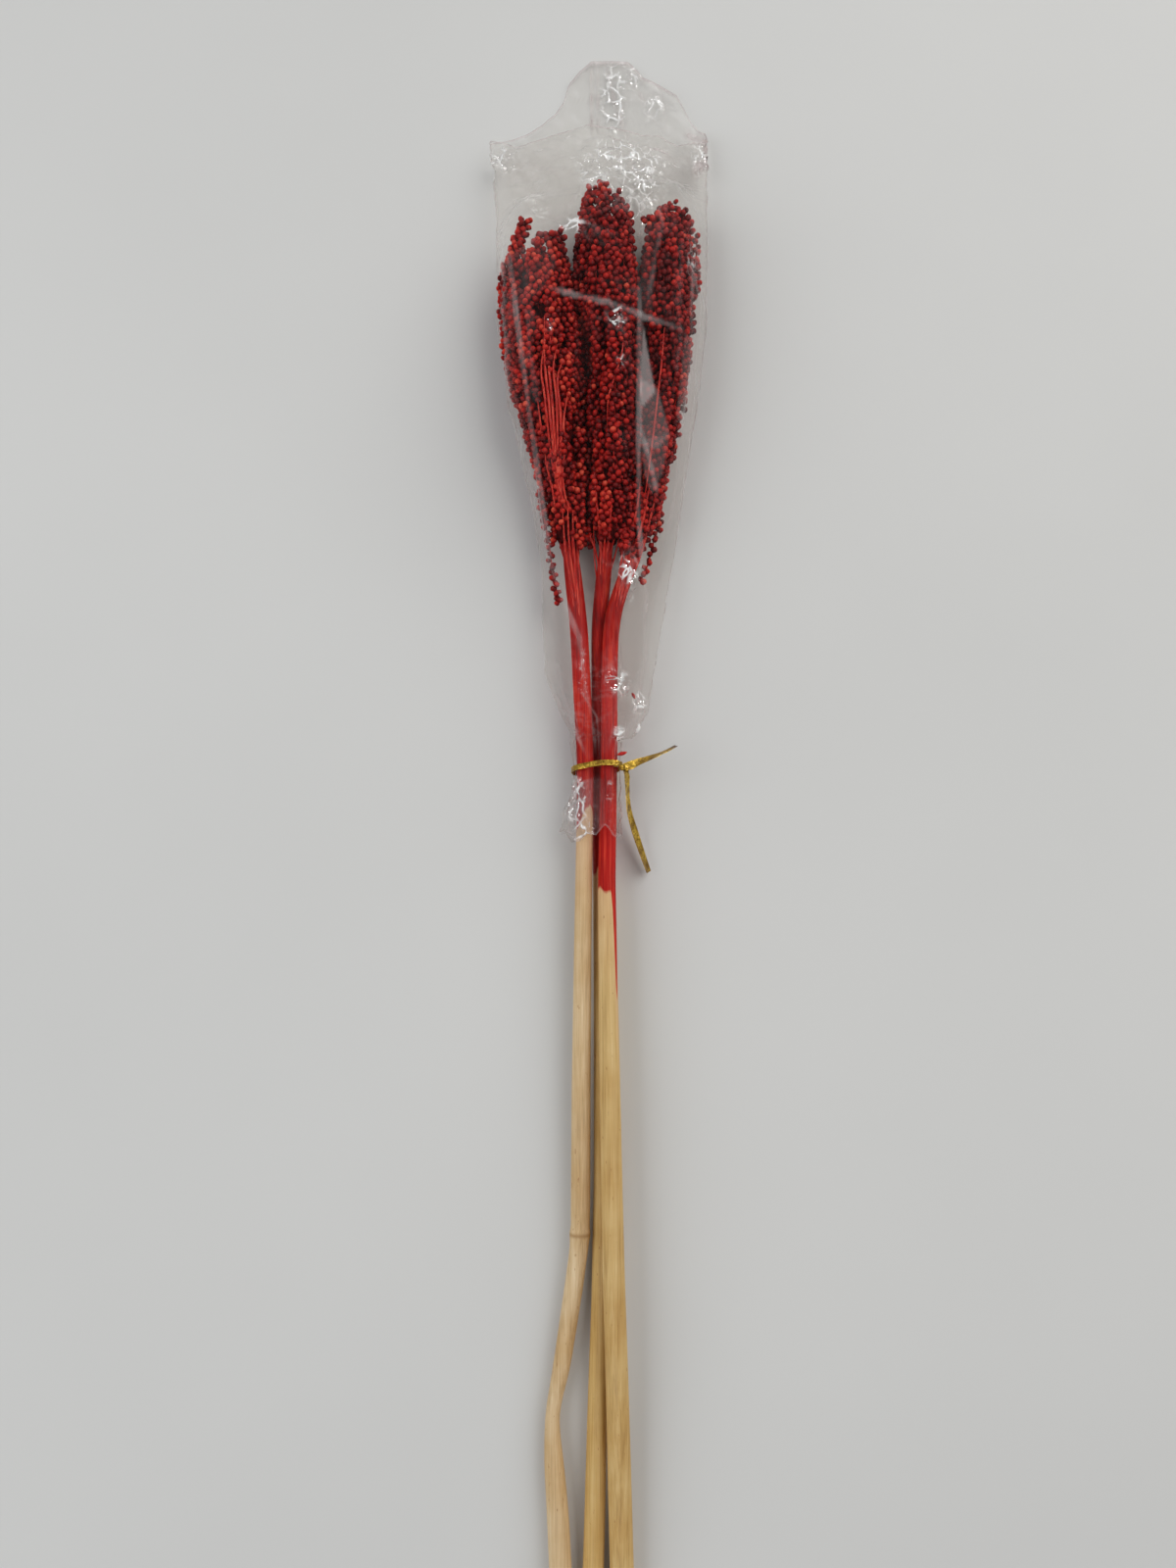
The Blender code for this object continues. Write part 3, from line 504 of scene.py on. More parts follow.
# %% The grain
GRAIN_SIZE = 3.2
GRAIN_SHAPE = (0.98, 0.86, 1.10)  # it is flattened from side to side and drawn long
# Rings of points from low to high along it: how much wider each is made, and how far it is moved along
GRAIN_RINGS = [(-0.75, -0.30, 1.16, -0.04), (-0.30, 0.20, 0.98, 0.0), (0.85, 1.30, 1.0, -0.12)]
start_fresh()
bpy.ops.mesh.primitive_uv_sphere_add(segments=6, ring_count=6, radius=1.0)
grain = bpy.context.object
grain.name = "one_grain"
bpy.ops.object.mode_set(mode="EDIT")
bpy.ops.transform.resize(value=GRAIN_SHAPE, center_override=(0, 0, 0))
for low, high, widen, lift in GRAIN_RINGS:
    bpy.ops.mesh.select_all(action="DESELECT")
    bpy.ops.object.mode_set(mode="OBJECT")
    for vertex in grain.data.vertices:
        vertex.select = low < vertex.co.z < high
    bpy.ops.object.mode_set(mode="EDIT")
    bpy.ops.transform.resize(value=(widen, widen, 1), center_override=(0, 0, 0))
    bpy.ops.transform.translate(value=(0, 0, lift))
bpy.ops.object.mode_set(mode="OBJECT")
grain_points = np.array([v.co[:] for v in grain.data.vertices])
grain_faces = [tuple(f.vertices) for f in grain.data.polygons]
# Dark where the husks cup the grain and on up past its middle: the husks' own colour, and painted shade round
# the grain's outline
grain_husk_and_shade = np.clip(0.72 - grain_points[:, 2] * 1.7, 0, 1)
bpy.data.objects.remove(grain)
print("one grain has", len(grain_faces), "faces")

# %% [markdown]
# ## The finish of the grains
# Dye soaks in unevenly: the husks stay dark and a little shiny, and the seeds range from maroon to bright
# red. Each grain carries its own number for that, from 0 dark to 1 bright, and the left head took up more.
# The husks' dark colour is painted on up past each grain's middle, further than the husks reach, so it is
# also painted shade round every grain's outline and leaves only its outer cap bright.

# %% Grain finish
grain_finish, tree, shader = new_material(
    "dyed_grain", roughness=0.4, specular_ior_level=0.15)
tone = add_node(tree, "ShaderNodeAttribute", attribute_name="tone").outputs["Fac"]
husk = add_node(tree, "ShaderNodeAttribute", attribute_name="husk").outputs["Fac"]
mottle = add_pattern(tree, 700, detail=3)
tone = add_sum(tree, "ADD", tone, add_sum(tree, "MULTIPLY_ADD", mottle, 0.5))
tone.node.inputs[1].links[0].from_node.inputs[2].default_value = -0.25
seed = add_ramp(tree, tone, [(0.0, (0.12, 0.002, 0.003)), (0.35, (0.31, 0.006, 0.005)),
                             (0.7, (0.56, 0.016, 0.010)), (1.0, (0.76, 0.095, 0.050))])
# The husks' dark colour, which the mask also lays as painted shade round each grain's outline
husk_and_shade_colour = add_ramp(tree, tone, [(0.0, (0.050, 0.001, 0.002)), (0.6, (0.20, 0.003, 0.003)),
                              (1.0, (0.42, 0.008, 0.007))])
tree.links.new(add_blend(tree, husk, seed, husk_and_shade_colour), shader.inputs["Base Color"])
tree.links.new(add_ramp(tree, mottle, [(0.3, (0.30,)), (0.7, (0.52,))]), shader.inputs["Roughness"])
add_bump(tree, shader, add_pattern(tree, 1800, detail=2), 0.12)

strand_finish, tree, shader = new_material("dyed_strand", roughness=0.42, specular_ior_level=0.15)
lines = add_pattern(tree, 1300, (1, 0.05, 1), detail=4)
tree.links.new(add_ramp(tree, lines, [(0.30, (0.26, 0.003, 0.003)), (0.5, (0.48, 0.009, 0.007)),
                                      (0.72, (0.70, 0.055, 0.030))]), shader.inputs["Base Color"])
add_bump(tree, shader, lines, 0.15)

bundle_finish, tree, shader = new_material("bared_bundle", roughness=0.38, specular_ior_level=0.2)
lines = add_pattern(tree, 1500, (1, 0.04, 1), detail=4)
tree.links.new(add_ramp(tree, lines, [(0.32, (0.30, 0.006, 0.005)), (0.5, (0.54, 0.020, 0.013)),
                                      (0.70, (0.74, 0.100, 0.060))]), shader.inputs["Base Color"])
add_bump(tree, shader, lines, 0.2)

# The core's near-black colour is painted shade: it stands for the shaded tangle of red branches inside a head
shaded_core_finish, tree, shader = new_material("painted_shade_inside", roughness=0.8, specular_ior_level=0.05)
depths = add_pattern(tree, 500, (1, 0.3, 1), detail=4)
tree.links.new(add_ramp(tree, depths, [(0.35, (0.014, 0.001, 0.001)), (0.65, (0.10, 0.002, 0.002))]),
               shader.inputs["Base Color"])
add_bump(tree, shader, depths, 0.8)
print("grain, strand, bundle and inside finishes are made")

# %% [markdown]
# ## Branches of a head
# A head is a stalk with whorls of thin branches. Each branch leaves the middle, bends to the outside and
# runs on towards the tip, and its outer part is packed with grains on short stalks. So branches are laid out
# first, level by level, and grains are then set round each of them. Where the real branches lie side by
# side, the grains make lengthwise rows with dark gaps between, as the photo shows.

# %% Where the branches run
CLUSTER_REACH = 2.5  # from a branch to the outside of its grains
BRANCH_START = 0.15  # how far out of the middle a branch begins, as a share of the head's width
OUTSIDE_FROM = 0.58  # from this share of its length on, a branch runs along the outside of the head
BRANCH_CURVE = 0.85
LEVEL_STEP, BRANCH_SPACING, BRANCH_LENGTH = 13.0, 8.4, 38
TIP_CLEAR, SHORTEST_BRANCH = 3.0, 9


def branch_line(side, start, length, turn, bend, stand, share):
    """Points of a branch at shares of its length: out from the middle, then along the outside."""
    y = start + length * share
    x, z, wide, high = at(head_table[side], y)
    outwards = np.sin(np.clip(share / OUTSIDE_FROM, 0, 1) * math.pi / 2) ** BRANCH_CURVE
    reach = BRANCH_START + (1 - BRANCH_START) * outwards
    angle = turn + bend * share
    out = np.maximum(np.stack([wide, high]) + stand - CLUSTER_REACH, 0.2) * reach
    return np.stack([x + out[0] * np.cos(angle), y, z + out[1] * np.sin(angle)], axis=-1)


def branches_of(side):
    """(start, length, turn, bend, stand) of each branch: stand is how proud of the others it is."""
    draw = random.Random("branches " + side)
    table = head_table[side]
    base, tip = table[0][0], table[0][-1]
    made, level = [], 0
    start = base - 2.0
    while start < tip - 16:
        _, _, wide, high = at(table, min(start + 24, tip - 10))
        around = math.pi * (wide + high - 2 * CLUSTER_REACH)
        count = max(4, round(around / BRANCH_SPACING))
        for n in range(count):
            turn = 2 * math.pi * (n + 0.5 * (level % 2) + draw.uniform(-0.22, 0.22)) / count
            begin = max(base, start + draw.uniform(-4, 4))
            full_length = BRANCH_LENGTH * draw.uniform(0.8, 1.15)
            length = min(full_length, tip - TIP_CLEAR * draw.uniform(0.3, 2.2) - begin)
            if length > SHORTEST_BRANCH:
                made.append((begin, length, turn, draw.uniform(-0.3, 0.3), draw.uniform(-2.2, 0.8)))
        level += 1
        start += LEVEL_STEP
    return made


head_branches = {side: branches_of(side) for side in HEADS}
for side, made in head_branches.items():
    print(side, "head has", len(made), "branches")

# %% Grains round the branches
GRAIN_STEP = 0.62
FIRST_GRAIN = 0.30  # grains begin this far along a branch
GOLDEN_TURN = math.pi * (3 - math.sqrt(5))  # from one grain to the next, so that they go evenly round
GRAIN_STAND = 2.5  # how far the grains' middles stand off their branch
GRAIN_JITTER, TONE_SPREAD = 0.28, 0.21
SEEN_FROM = 0.62  # grains deeper in the head than this share of its width are hidden and left out
TONE = {"left": 0.55, "middle": 0.42, "right": 0.38}
BARE_FOOT = 31  # the foot of a head shows its stem and bare branches, and no grains
# The top of each head ends in tufts, along a slanted, wavy line over x: its place, middle, slope and waves
TOP_LINES = {"left": (252.0, 36.0, 0.75, 3.0), "middle": (287.0, 0.0, 0.0, 4.5),
             "right": (279.0, 0.0, 0.0, 5.0)}
TUFT = 0.62  # waves in radians for each millimetre


def perpendicular(directions):
    """Two directions square to each given one, and to each other."""
    helper = np.where(np.abs(directions[:, [2]]) < 0.9, [[0.0, 0.0, 1.0]], [[1.0, 0.0, 0.0]])
    first = np.cross(directions, helper)
    first /= np.linalg.norm(first, axis=1, keepdims=True)
    return first, np.cross(directions, first)


def unit(vectors):
    return vectors / np.maximum(np.linalg.norm(vectors, axis=1, keepdims=True), 1e-9)


def top_of(side, x):
    """Where a head ends, at x."""
    height, centre, slope, wave = TOP_LINES[side]
    return height + slope * (x + centre) + wave * np.sin(x * TUFT)


def grains_on_branches(side, draw):
    """Middles, directions and shades of the grains of a head that can be seen from outside."""
    middles, ways, shades = [], [], []
    for branch in head_branches[side]:
        length = branch[1]
        shade = draw.gauss(0, 0.10)
        foot = head_table[side][0][0] + draw.gauss(BARE_FOOT, 6)
        count = int(length * (1 - FIRST_GRAIN) / GRAIN_STEP)
        share = FIRST_GRAIN + (1 - FIRST_GRAIN) * (np.arange(count) + 0.5) / count
        line = branch_line(side, *branch, share)
        along = unit(branch_line(side, *branch, share + 0.02) - branch_line(side, *branch, share - 0.02))
        first, second = perpendicular(along)
        round_it = np.arange(count) * GOLDEN_TURN + draw.uniform(0, 6.3)
        along_cluster = (share - FIRST_GRAIN) / (1 - FIRST_GRAIN)
        bulge = GRAIN_STAND * np.sin(math.pi * (0.12 + 0.76 * along_cluster)) ** 0.6
        outward = first * np.cos(round_it)[:, None] + second * np.sin(round_it)[:, None]
        jitter = np.array([[draw.gauss(0, GRAIN_JITTER) for _ in range(3)] for _ in range(count)])
        grown = line[:, 1] > foot
        middles.append((line + outward * bulge[:, None] + jitter)[grown])
        ways.append(unit(0.6 * along + 0.8 * outward + jitter * 0.8)[grown])
        shades.append(np.full(count, shade)[grown])
    middles, ways, shades = np.concatenate(middles), np.concatenate(ways), np.concatenate(shades)
    x, z, wide, high = at(head_table[side], middles[:, 1])
    depth = np.hypot((middles[:, 0] - x) / np.maximum(wide, 1), (middles[:, 2] - z) / np.maximum(high, 1))
    seen = (depth > SEEN_FROM) | (middles[:, 1] > head_table[side][0][-1] - 14)
    seen &= middles[:, 1] < top_of(side, middles[:, 0])
    return middles[seen], ways[seen], shades[seen]


def spread_out(middles, least):
    """The numbers of the grains that are left when one that lies nearly in another is taken out."""
    kept, cells = [], {}
    for n, point in enumerate(middles):
        cell = tuple(np.floor(point / least).astype(int))
        near = [m for i in (-1, 0, 1) for j in (-1, 0, 1) for k in (-1, 0, 1)
                for m in cells.get((cell[0] + i, cell[1] + j, cell[2] + k), ())]
        if all(np.sum((middles[m] - point) ** 2) > least**2 for m in near):
            cells.setdefault(cell, []).append(n)
            kept.append(n)
    return kept


def copies_of_grain(name, middles, ways, tones, draw, size=GRAIN_SIZE):
    """One mesh with a copy of the grain at each place, each turned its own way."""
    count = len(middles)
    first, second = perpendicular(ways)
    spin = np.array([draw.uniform(0, 2 * math.pi) for _ in range(count)])
    across = first * np.cos(spin)[:, None] + second * np.sin(spin)[:, None]
    aside = np.cross(ways, across)
    scale = np.array([draw.uniform(0.86, 1.1) for _ in range(count)]) * size / 2
    own_x, own_y, own_z = (grain_points[None, :, k, None] for k in range(3))
    points = own_x * across[:, None] + own_y * aside[:, None] + own_z * ways[:, None]
    points = points * scale[:, None, None] + middles[:, None]
    per = len(grain_points)
    faces = [tuple(v + n * per for v in face) for n in range(count) for face in grain_faces]
    mesh = bpy.data.meshes.new(name)
    mesh.from_pydata((points.reshape(-1, 3) * MM).tolist(), [], faces)
    mesh.polygons.foreach_set("use_smooth", np.ones(len(faces), bool))
    paint(mesh, "tone", np.repeat(tones, per))
    paint(mesh, "husk", np.tile(grain_husk_and_shade, count))
    piece = bpy.data.objects.new(name, mesh)
    scene.collection.objects.link(piece)
    return piece


LEAST_APART = 2.15
LOWEST_GRAIN = 2.15  # middles of grains above the floor, so that the undermost ones rest on it
for side in HEADS:
    draw = random.Random("grains " + side)
    middles, ways, shades = grains_on_branches(side, draw)
    middles[:, 2] = np.maximum(middles[:, 2], LOWEST_GRAIN)
    kept = spread_out(middles, LEAST_APART)
    middles, ways, shades = middles[kept], ways[kept], shades[kept]
    patch = np.sin(middles[:, 0] * 0.35 + 1) * np.sin(middles[:, 1] * 0.11) * 0.10
    tones = np.array([draw.gauss(TONE[side], TONE_SPREAD) for _ in middles]) + patch + shades
    # The grains on the middle head's right flank, where it faces the right head, are made darker: painted
    # shade
    if side == "middle":
        tones -= 0.28 * np.exp(-(((middles[:, 0] - 17) / 3.5) ** 2) - ((middles[:, 1] - 168) / 34) ** 2)
    piece = copies_of_grain("grains_" + side, middles, ways, np.clip(tones, 0.02, 1), draw)
    hand_over(piece, grain_finish, "dyed_sorghum", "head_" + side)
    print(side, "head has", len(middles), "grains")

# %% [markdown]
# ## Grains between the heads
# Where two heads lie against each other their branches meet low down, in the dark, so that no table shows
# between them. A loose row of dark grains fills each meeting line, at about the height of the heads' middle.

# %% Dark rows where the heads meet
# Two heads, from where to where along them, and between which heights
MEETING_LINES = [("left", "middle", 108, 250, 9, 18), ("middle", "right", 104, 178, 10, 22),
                 ("middle", "right", 206, 246, 9, 17)]
ROW_GRAINS = 5.0  # for each millimetre of a meeting line
ROW_APART, ROW_OVERLAP = 1.8, 1.5
draw = random.Random("between the heads")
middles = []
for first, second, start, end, low, high in MEETING_LINES:
    for _ in range(int((end - start) * ROW_GRAINS)):
        y = draw.uniform(start, end)
        x_first, _, wide_first, _ = at(head_table[first], y)
        x_second, _, wide_second, _ = at(head_table[second], y)
        inner, outer = x_first + wide_first - ROW_OVERLAP, x_second - wide_second + ROW_OVERLAP
        aside = draw.gauss(0, 0.3) * max(outer - inner, 3.0)
        middles.append(((inner + outer) / 2 + aside, y, draw.uniform(low, high)))
middles = np.array(middles)
middles = middles[spread_out(middles, ROW_APART)]
ways = unit(np.array([[draw.gauss(0, 0.5), draw.gauss(0.5, 0.5), 1.0] for _ in middles]))
row_tones = [draw.gauss(0.36 if x < 0 else 0.50, 0.16) for x, _, _ in middles]
tones = np.clip(row_tones, 0.02, 0.7)
hand_over(copies_of_grain("grains_between", middles, ways, tones, draw), grain_finish, "dyed_sorghum",
          "head_left", "head_middle", "head_right")

# %% [markdown]
# ## Inside and strands
# Between the grains one looks into the tangled inside, which lies in deep shade. A rough core under the
# grains stands for it, and its near-black colour is painted shade.
# Every branch is also there as a thin red straw, which shows where the grains leave it bare, at the foot
# of each head above all. On the left head a bundle of long strands lies bare on top, as in the photo.

# %% Cores in painted shade
CORE_SHARE = 0.66
CORE_FROM, CORE_TO = 27, 24  # how far a core stays from the head's foot and from its tip
for side, table in head_table.items():
    base, tip = table[0][0], table[0][-1]
    core = lofted_rod("core_" + side, sections_of(table, base + CORE_FROM, tip - CORE_TO, 8, CORE_SHARE), 16)
    smoothed(core)
    points = places(core.data)
    x, z, _, _ = at(table, points[:, 1])
    ripple = 1 + 0.10 * np.sin(points[:, 1] * 0.9 + 3 * np.arctan2(points[:, 2] - z, points[:, 0] - x))
    points[:, 0] = x + (points[:, 0] - x) * ripple
    points[:, 2] = z + (points[:, 2] - z) * ripple
    move_to(core.data, points)
    hand_over(core, shaded_core_finish, "dyed_sorghum", "head_" + side)

# %% Strands
BRANCH_RADIUS = 0.42
# Strands that lie bare on a head and its stem: points (x, y) from top to foot, laid at the surface's height
BARE_STRANDS = {
    "left": [
        [(-24.5, 206), (-27.0, 188), (-25.6, 176), (-24.2, 163), (-22.4, 147), (-20.0, 134), (-18.6, 124)],
        [(-25.6, 214), (-25.3, 190), (-23.9, 176), (-22.6, 163), (-21.0, 147), (-19.4, 134), (-17.8, 121)],
        [(-22.2, 212), (-23.4, 190), (-22.0, 174), (-21.0, 160), (-20.0, 146), (-18.8, 132), (-17.0, 120)],
        [(-19.4, 200), (-21.4, 188), (-19.9, 174), (-19.4, 160), (-18.9, 144), (-18.0, 130), (-16.0, 122)],
        [(-17.0, 192), (-19.4, 182), (-17.9, 166), (-17.6, 152), (-18.0, 140), (-17.2, 128), (-14.8, 121)],
        [(-14.6, 176), (-16.4, 162), (-15.8, 150), (-17.0, 138), (-15.8, 128), (-13.4, 122)],
        [(-28.6, 172), (-26.8, 158), (-24.6, 144), (-21.6, 130), (-20.4, 122)],
        [(-17.0, 122), (-16.0, 108), (-14.2, 94), (-12.2, 82), (-10.8, 70)],
        [(-14.6, 125), (-14.0, 110), (-12.6, 96), (-10.9, 84), (-9.6, 68)],
        [(-12.2, 121), (-11.8, 106), (-10.9, 92), (-9.6, 80), (-8.6, 64)],
        [(-10.4, 119), (-9.9, 104), (-9.0, 90), (-8.0, 76)],
    ],
    "middle": [
        [(11.8, 202), (10.8, 194), (7.5, 183), (4.7, 173), (4.0, 160)],
        [(-6.0, 128), (-7.7, 119), (-5.0, 114), (-3.1, 109), (-0.4, 100), (0.6, 88)],
        [(2.4, 130), (3.4, 118), (1.4, 108), (1.0, 98), (1.2, 86)],
        [(6.2, 126), (5.2, 114), (4.2, 104), (3.0, 92)],
        [(-2.0, 140), (-1.0, 126), (0.6, 112), (1.0, 98)],
    ],
    "right": [
        [(20.1, 140), (18.4, 124), (14.6, 108), (11.3, 94), (8.2, 78)],
        [(24.0, 132), (20.8, 116), (16.9, 104), (12.4, 90), (8.8, 78)],
        [(27.0, 128), (23.4, 114), (18.6, 98), (13.6, 86), (9.4, 76)],
        [(16.4, 128), (16.2, 114), (13.2, 100), (10.2, 88), (7.6, 78)],
        [(31.5, 210), (29.8, 190), (27.6, 172), (25.0, 150), (21.6, 126)],
        [(12.8, 126), (12.4, 112), (10.8, 98), (8.6, 84), (6.6, 72)],
        [(14.6, 122), (14.4, 108), (12.2, 94), (9.6, 82), (7.0, 68)],
        [(22.4, 124), (19.4, 110), (15.4, 96), (11.4, 84), (8.4, 68)],
        [(25.4, 120), (21.4, 106), (17.0, 94), (12.6, 82), (9.0, 72)],
    ],
}
STRAND_RADIUS = {"left": 0.62, "middle": 0.50, "right": 0.62}
STRAND_POINTS, STRAND_WAVE = 26, 0.25
STEM_FROM, STEM_BLEND = 118, 16  # below this a strand comes down to the stem, over so many millimetres
ROOT_ABOVE = 110  # a strand that ends above this goes in between the grains
ROOT_DEPTH, END_DEPTH = 1.6, 0.9  # how far a strand's last points go in, there and on the stem


def smooth_line(points, count):
    """Evenly numbered points on a smooth curve through a few points."""
    points = np.array(points, float)
    made = []
    for place in np.linspace(0, len(points) - 1, count):
        i = min(int(place), len(points) - 2)
        t = place - i
        p1, p2 = points[i], points[i + 1]
        p0 = points[i - 1] if i else 2 * p1 - p2
        p3 = points[i + 2] if i + 2 < len(points) else 2 * p2 - p1
        made.append(0.5 * (2 * p1 + (p2 - p0) * t + (2 * p0 - 5 * p1 + 4 * p2 - p3) * t**2
                           + (3 * p1 - p0 - 3 * p2 + p3) * t**3))
    return np.array(made)


def height_on_head(side, x, y, lift):
    """The height of a head's upper side at x, y, and so far above it."""
    middle, z, wide, high = at(head_table[side], y)
    across = np.clip((x - middle) / np.maximum(wide, 1), -0.96, 0.96)
    return z + high * np.sqrt(1 - across**2) + lift


for side in HEADS:
    draw = random.Random("strands " + side)
    paths = []
    for branch in head_branches[side]:
        line = branch_line(side, *branch, np.linspace(0, 0.97, 8))
        line = line[line[:, 1] < top_of(side, line[:, 0]) - 2]
        if len(line) > 2:
            paths.append([(*point, BRANCH_RADIUS * (1 - 0.08 * n)) for n, point in enumerate(line)])
    hand_over(straws("strands_" + side, paths, 2), strand_finish, "dyed_sorghum", "head_" + side)
    paths = []
    for strand in BARE_STRANDS[side]:
        line = smooth_line(strand, STRAND_POINTS)
        radius = STRAND_RADIUS[side] * draw.uniform(0.8, 1.15)
        wave = np.array([draw.uniform(-STRAND_WAVE, STRAND_WAVE) for _ in line])
        height = height_on_head(side, line[:, 0], np.clip(line[:, 1], 82, None), -0.5) + wave
        x, z, wide, high = at(stem_table[side], line[:, 1])
        on_stem = z + high * np.sqrt(1 - np.clip(np.abs(line[:, 0] - x) / wide, 0, 0.95) ** 2) - 0.1
        sink = np.clip((STEM_FROM - line[:, 1]) / STEM_BLEND, 0, 1)
        height = height * (1 - sink) + on_stem * sink
        to_end = np.arange(len(line))[::-1]
        height -= (ROOT_DEPTH if line[-1, 1] > ROOT_ABOVE else END_DEPTH) * np.clip(1 - to_end / 5, 0, 1)
        taper = np.clip((np.minimum(np.arange(len(line)), to_end) + 2) / 8, 0.3, 1)
        paths.append([(px, py, pz, radius * t) for (px, py), pz, t in zip(line, height, taper)])
    hand_over(straws("bundle_" + side, paths, 3), bundle_finish, "dyed_sorghum", "head_" + side)
    print(side, "head has", len(paths), "bared strands")

# %% [markdown]
# ## Stray grains
# A few thin strings of grains stand off the heads' edges and tips, and two husks have dropped off and lie in
# the sleeve near its neck. The strings are copies of the same grain, wound round a thin strand that is laid
# where the photo shows it. Each of the two husks is a short straw that tapers at both ends.

# %% Stray strings and loose grains
# Strings of grains: points of the line, and how many rows of grains are round it
STRAY_STRINGS = [
    ([(-35.6, 271, 24), (-38.4, 262, 23), (-41.0, 255, 22), (-44.0, 248, 21), (-45.6, 238, 20),
      (-45.6, 228, 20), (-44.8, 216, 20), (-43.2, 203, 20), (-41.2, 192, 19), (-38.4, 180, 18)], 3),
    ([(-28.6, 134, 16), (-26.2, 122, 16), (-23.8, 110, 15), (-22.2, 98, 15), (-20.4, 88, 14),
      (-18.8, 79, 14)], 1),
    ([(-33.0, 164, 17), (-30.4, 150, 17), (-28.0, 138, 16)], 1),
    ([(29.0, 262, 25), (29.2, 270, 24), (29.2, 278, 23)], 1),
    ([(27.4, 262, 24), (25.4, 268, 24), (24.0, 274, 23)], 2),
    ([(41.0, 258, 25), (41.2, 264, 24), (42.6, 269, 22)], 2),
    ([(35.6, 266, 25), (35.2, 274, 24), (36.8, 281, 23)], 2),
    ([(36.6, 268, 24), (38.4, 274, 24), (39.0, 279, 22)], 1),
    ([(-3.4, 280, 26), (-3.8, 285, 25), (-3.2, 289, 24)], 2),
    ([(3.0, 282, 26), (2.4, 287, 25), (2.8, 292, 24)], 2),
    ([(47.6, 250, 20), (48.6, 258, 20), (48.2, 266, 19)], 1),
    ([(38.0, 164, 14), (36.4, 158, 12), (35.6, 152, 10)], 1),
    ([(28.6, 128, 14), (29.6, 120, 12), (27.0, 112, 12), (24.0, 100, 12), (20.0, 90, 13)], 1),
]
# Husks that have dropped off: the two ends of each, and its thickness
LOOSE_HUSKS = [((15.9, 37.4, 6.4), (17.4, 34.6, 6.4), 0.75), ((8.6, 5.2, 18.6), (13.0, 6.9, 16.2), 0.95)]
HUSK_PROFILE = (0.3, 0.7, 0.95, 1, 0.9, 0.65, 0.25)
STRING_STEP, STRING_RADIUS, STRING_APART, STRING_GRAIN = 1.75, 0.35, 1.7, 0.95
draw = random.Random("stray grains")
middles, ways, paths = [], [], []
for string, rows in STRAY_STRINGS:
    long = sum(math.dist(a, b) for a, b in zip(string, string[1:]))
    line = smooth_line(string, max(6, int(long / STRING_STEP * rows)))
    for n, point in enumerate(line):
        aside = math.radians(137.5) * n
        out = np.array([math.cos(aside), 0.0, math.sin(aside)])
        middles.append(point + out * (0.5 + 0.75 * rows) * draw.uniform(0.7, 1.2))
        ways.append(out + np.array([draw.uniform(-0.3, 0.3), 0.5, draw.uniform(-0.3, 0.3)]))
    paths.append([(*point, STRING_RADIUS) for point in line])
for start, end, thick in LOOSE_HUSKS:
    husk_line = smooth_line([start, end], len(HUSK_PROFILE))
    paths.append([(*point, thick * share) for point, share in zip(husk_line, HUSK_PROFILE)])
middles, ways = np.array(middles), unit(np.array(ways))
kept = spread_out(middles, STRING_APART)
middles, ways = middles[kept], ways[kept]
tones = np.array([min(1, max(0, draw.gauss(0.58, 0.2))) for _ in middles])
hand_over(copies_of_grain("stray_grains", middles, ways, tones, draw, GRAIN_SIZE * STRING_GRAIN),
          grain_finish, "dyed_sorghum", "head_left", "head_right")
hand_over(straws("stray_strands", paths, 2), strand_finish, "dyed_sorghum", "head_left", "head_right")

# %% [markdown]
# ## The film sleeve
# The sleeve is a flat bag of thin clear film. The heads hold it open, its side folds stay nearly flat, and
# the tie gathers its neck in sharp pleats, with a short skirt below. It is modelled as one grid that is
# wrapped round: at each place along the bunch, the film is pulled straight from one support to the next,
# so its section is found from tangent lines round the heads, the stems and the two side folds.

# %% Sections of the film
SLEEVE = [(14, -10.6, 16.0, 12, 20.5), (27, -17.5, 23.0, 11, 21.5), (45, -24.5, 25.8, 10, 22.5),
          (70, -26.5, 30.0, 9.5, 23), (100, -27.5, 36.0, 9.5, 25), (130, -32.5, 41.0, 10.5, 30),
          (160, -39.5, 45.5, 12, 34), (190, -45.0, 50.5, 13.5, 37), (220, -49.8, 53.6, 14, 38),
          (256, -51.0, 55.2, 13.5, 37.5), (288, -51.5, 55.2, 12, 32), (306, -53.0, 55.8, 10, 25),
          (326, -56.0, 56.0, 8, 18)]
SKIRT = [(-34, 0.9, -0.5), (-22, 0.8, -0.4), (-10, 0.4, -0.2), (-3, 0.0, 0.0), (3, 0.0, 0.0), (12, 0.8, 0.0)]
SKIRT_EAR = [(-34, -14.2), (-26, -13.6), (-14, -10.6), (-6, -8.0)]  # its left corner stands off the stem
MOUTH, NECK_TOP, SKIRT_END = 326.0, 60.0, -34.0
FOLD_RADIUS, FILM_GAP, NECK_GAP, SECTION_REACH = 1.3, 0.9, 0.55, 9.0
DIRECTIONS = 72
FLAT_GAP = 0.2
FOLD_INSET = 2.4  # the rounds that hold the side folds lie this far in from the sleeve's edges
AIR_SHARE, AIR_CLEAR = 0.275, 1.1  # the sleeve stands open over its middle: half that width, as a share
sleeve_table = smooth_table(SLEEVE, 4)
skirt_table = smooth_table(SKIRT, 2)
turns = 2 * math.pi * np.arange(DIRECTIONS) / DIRECTIONS
ways_round = np.stack([np.cos(turns), np.sin(turns)], axis=1)


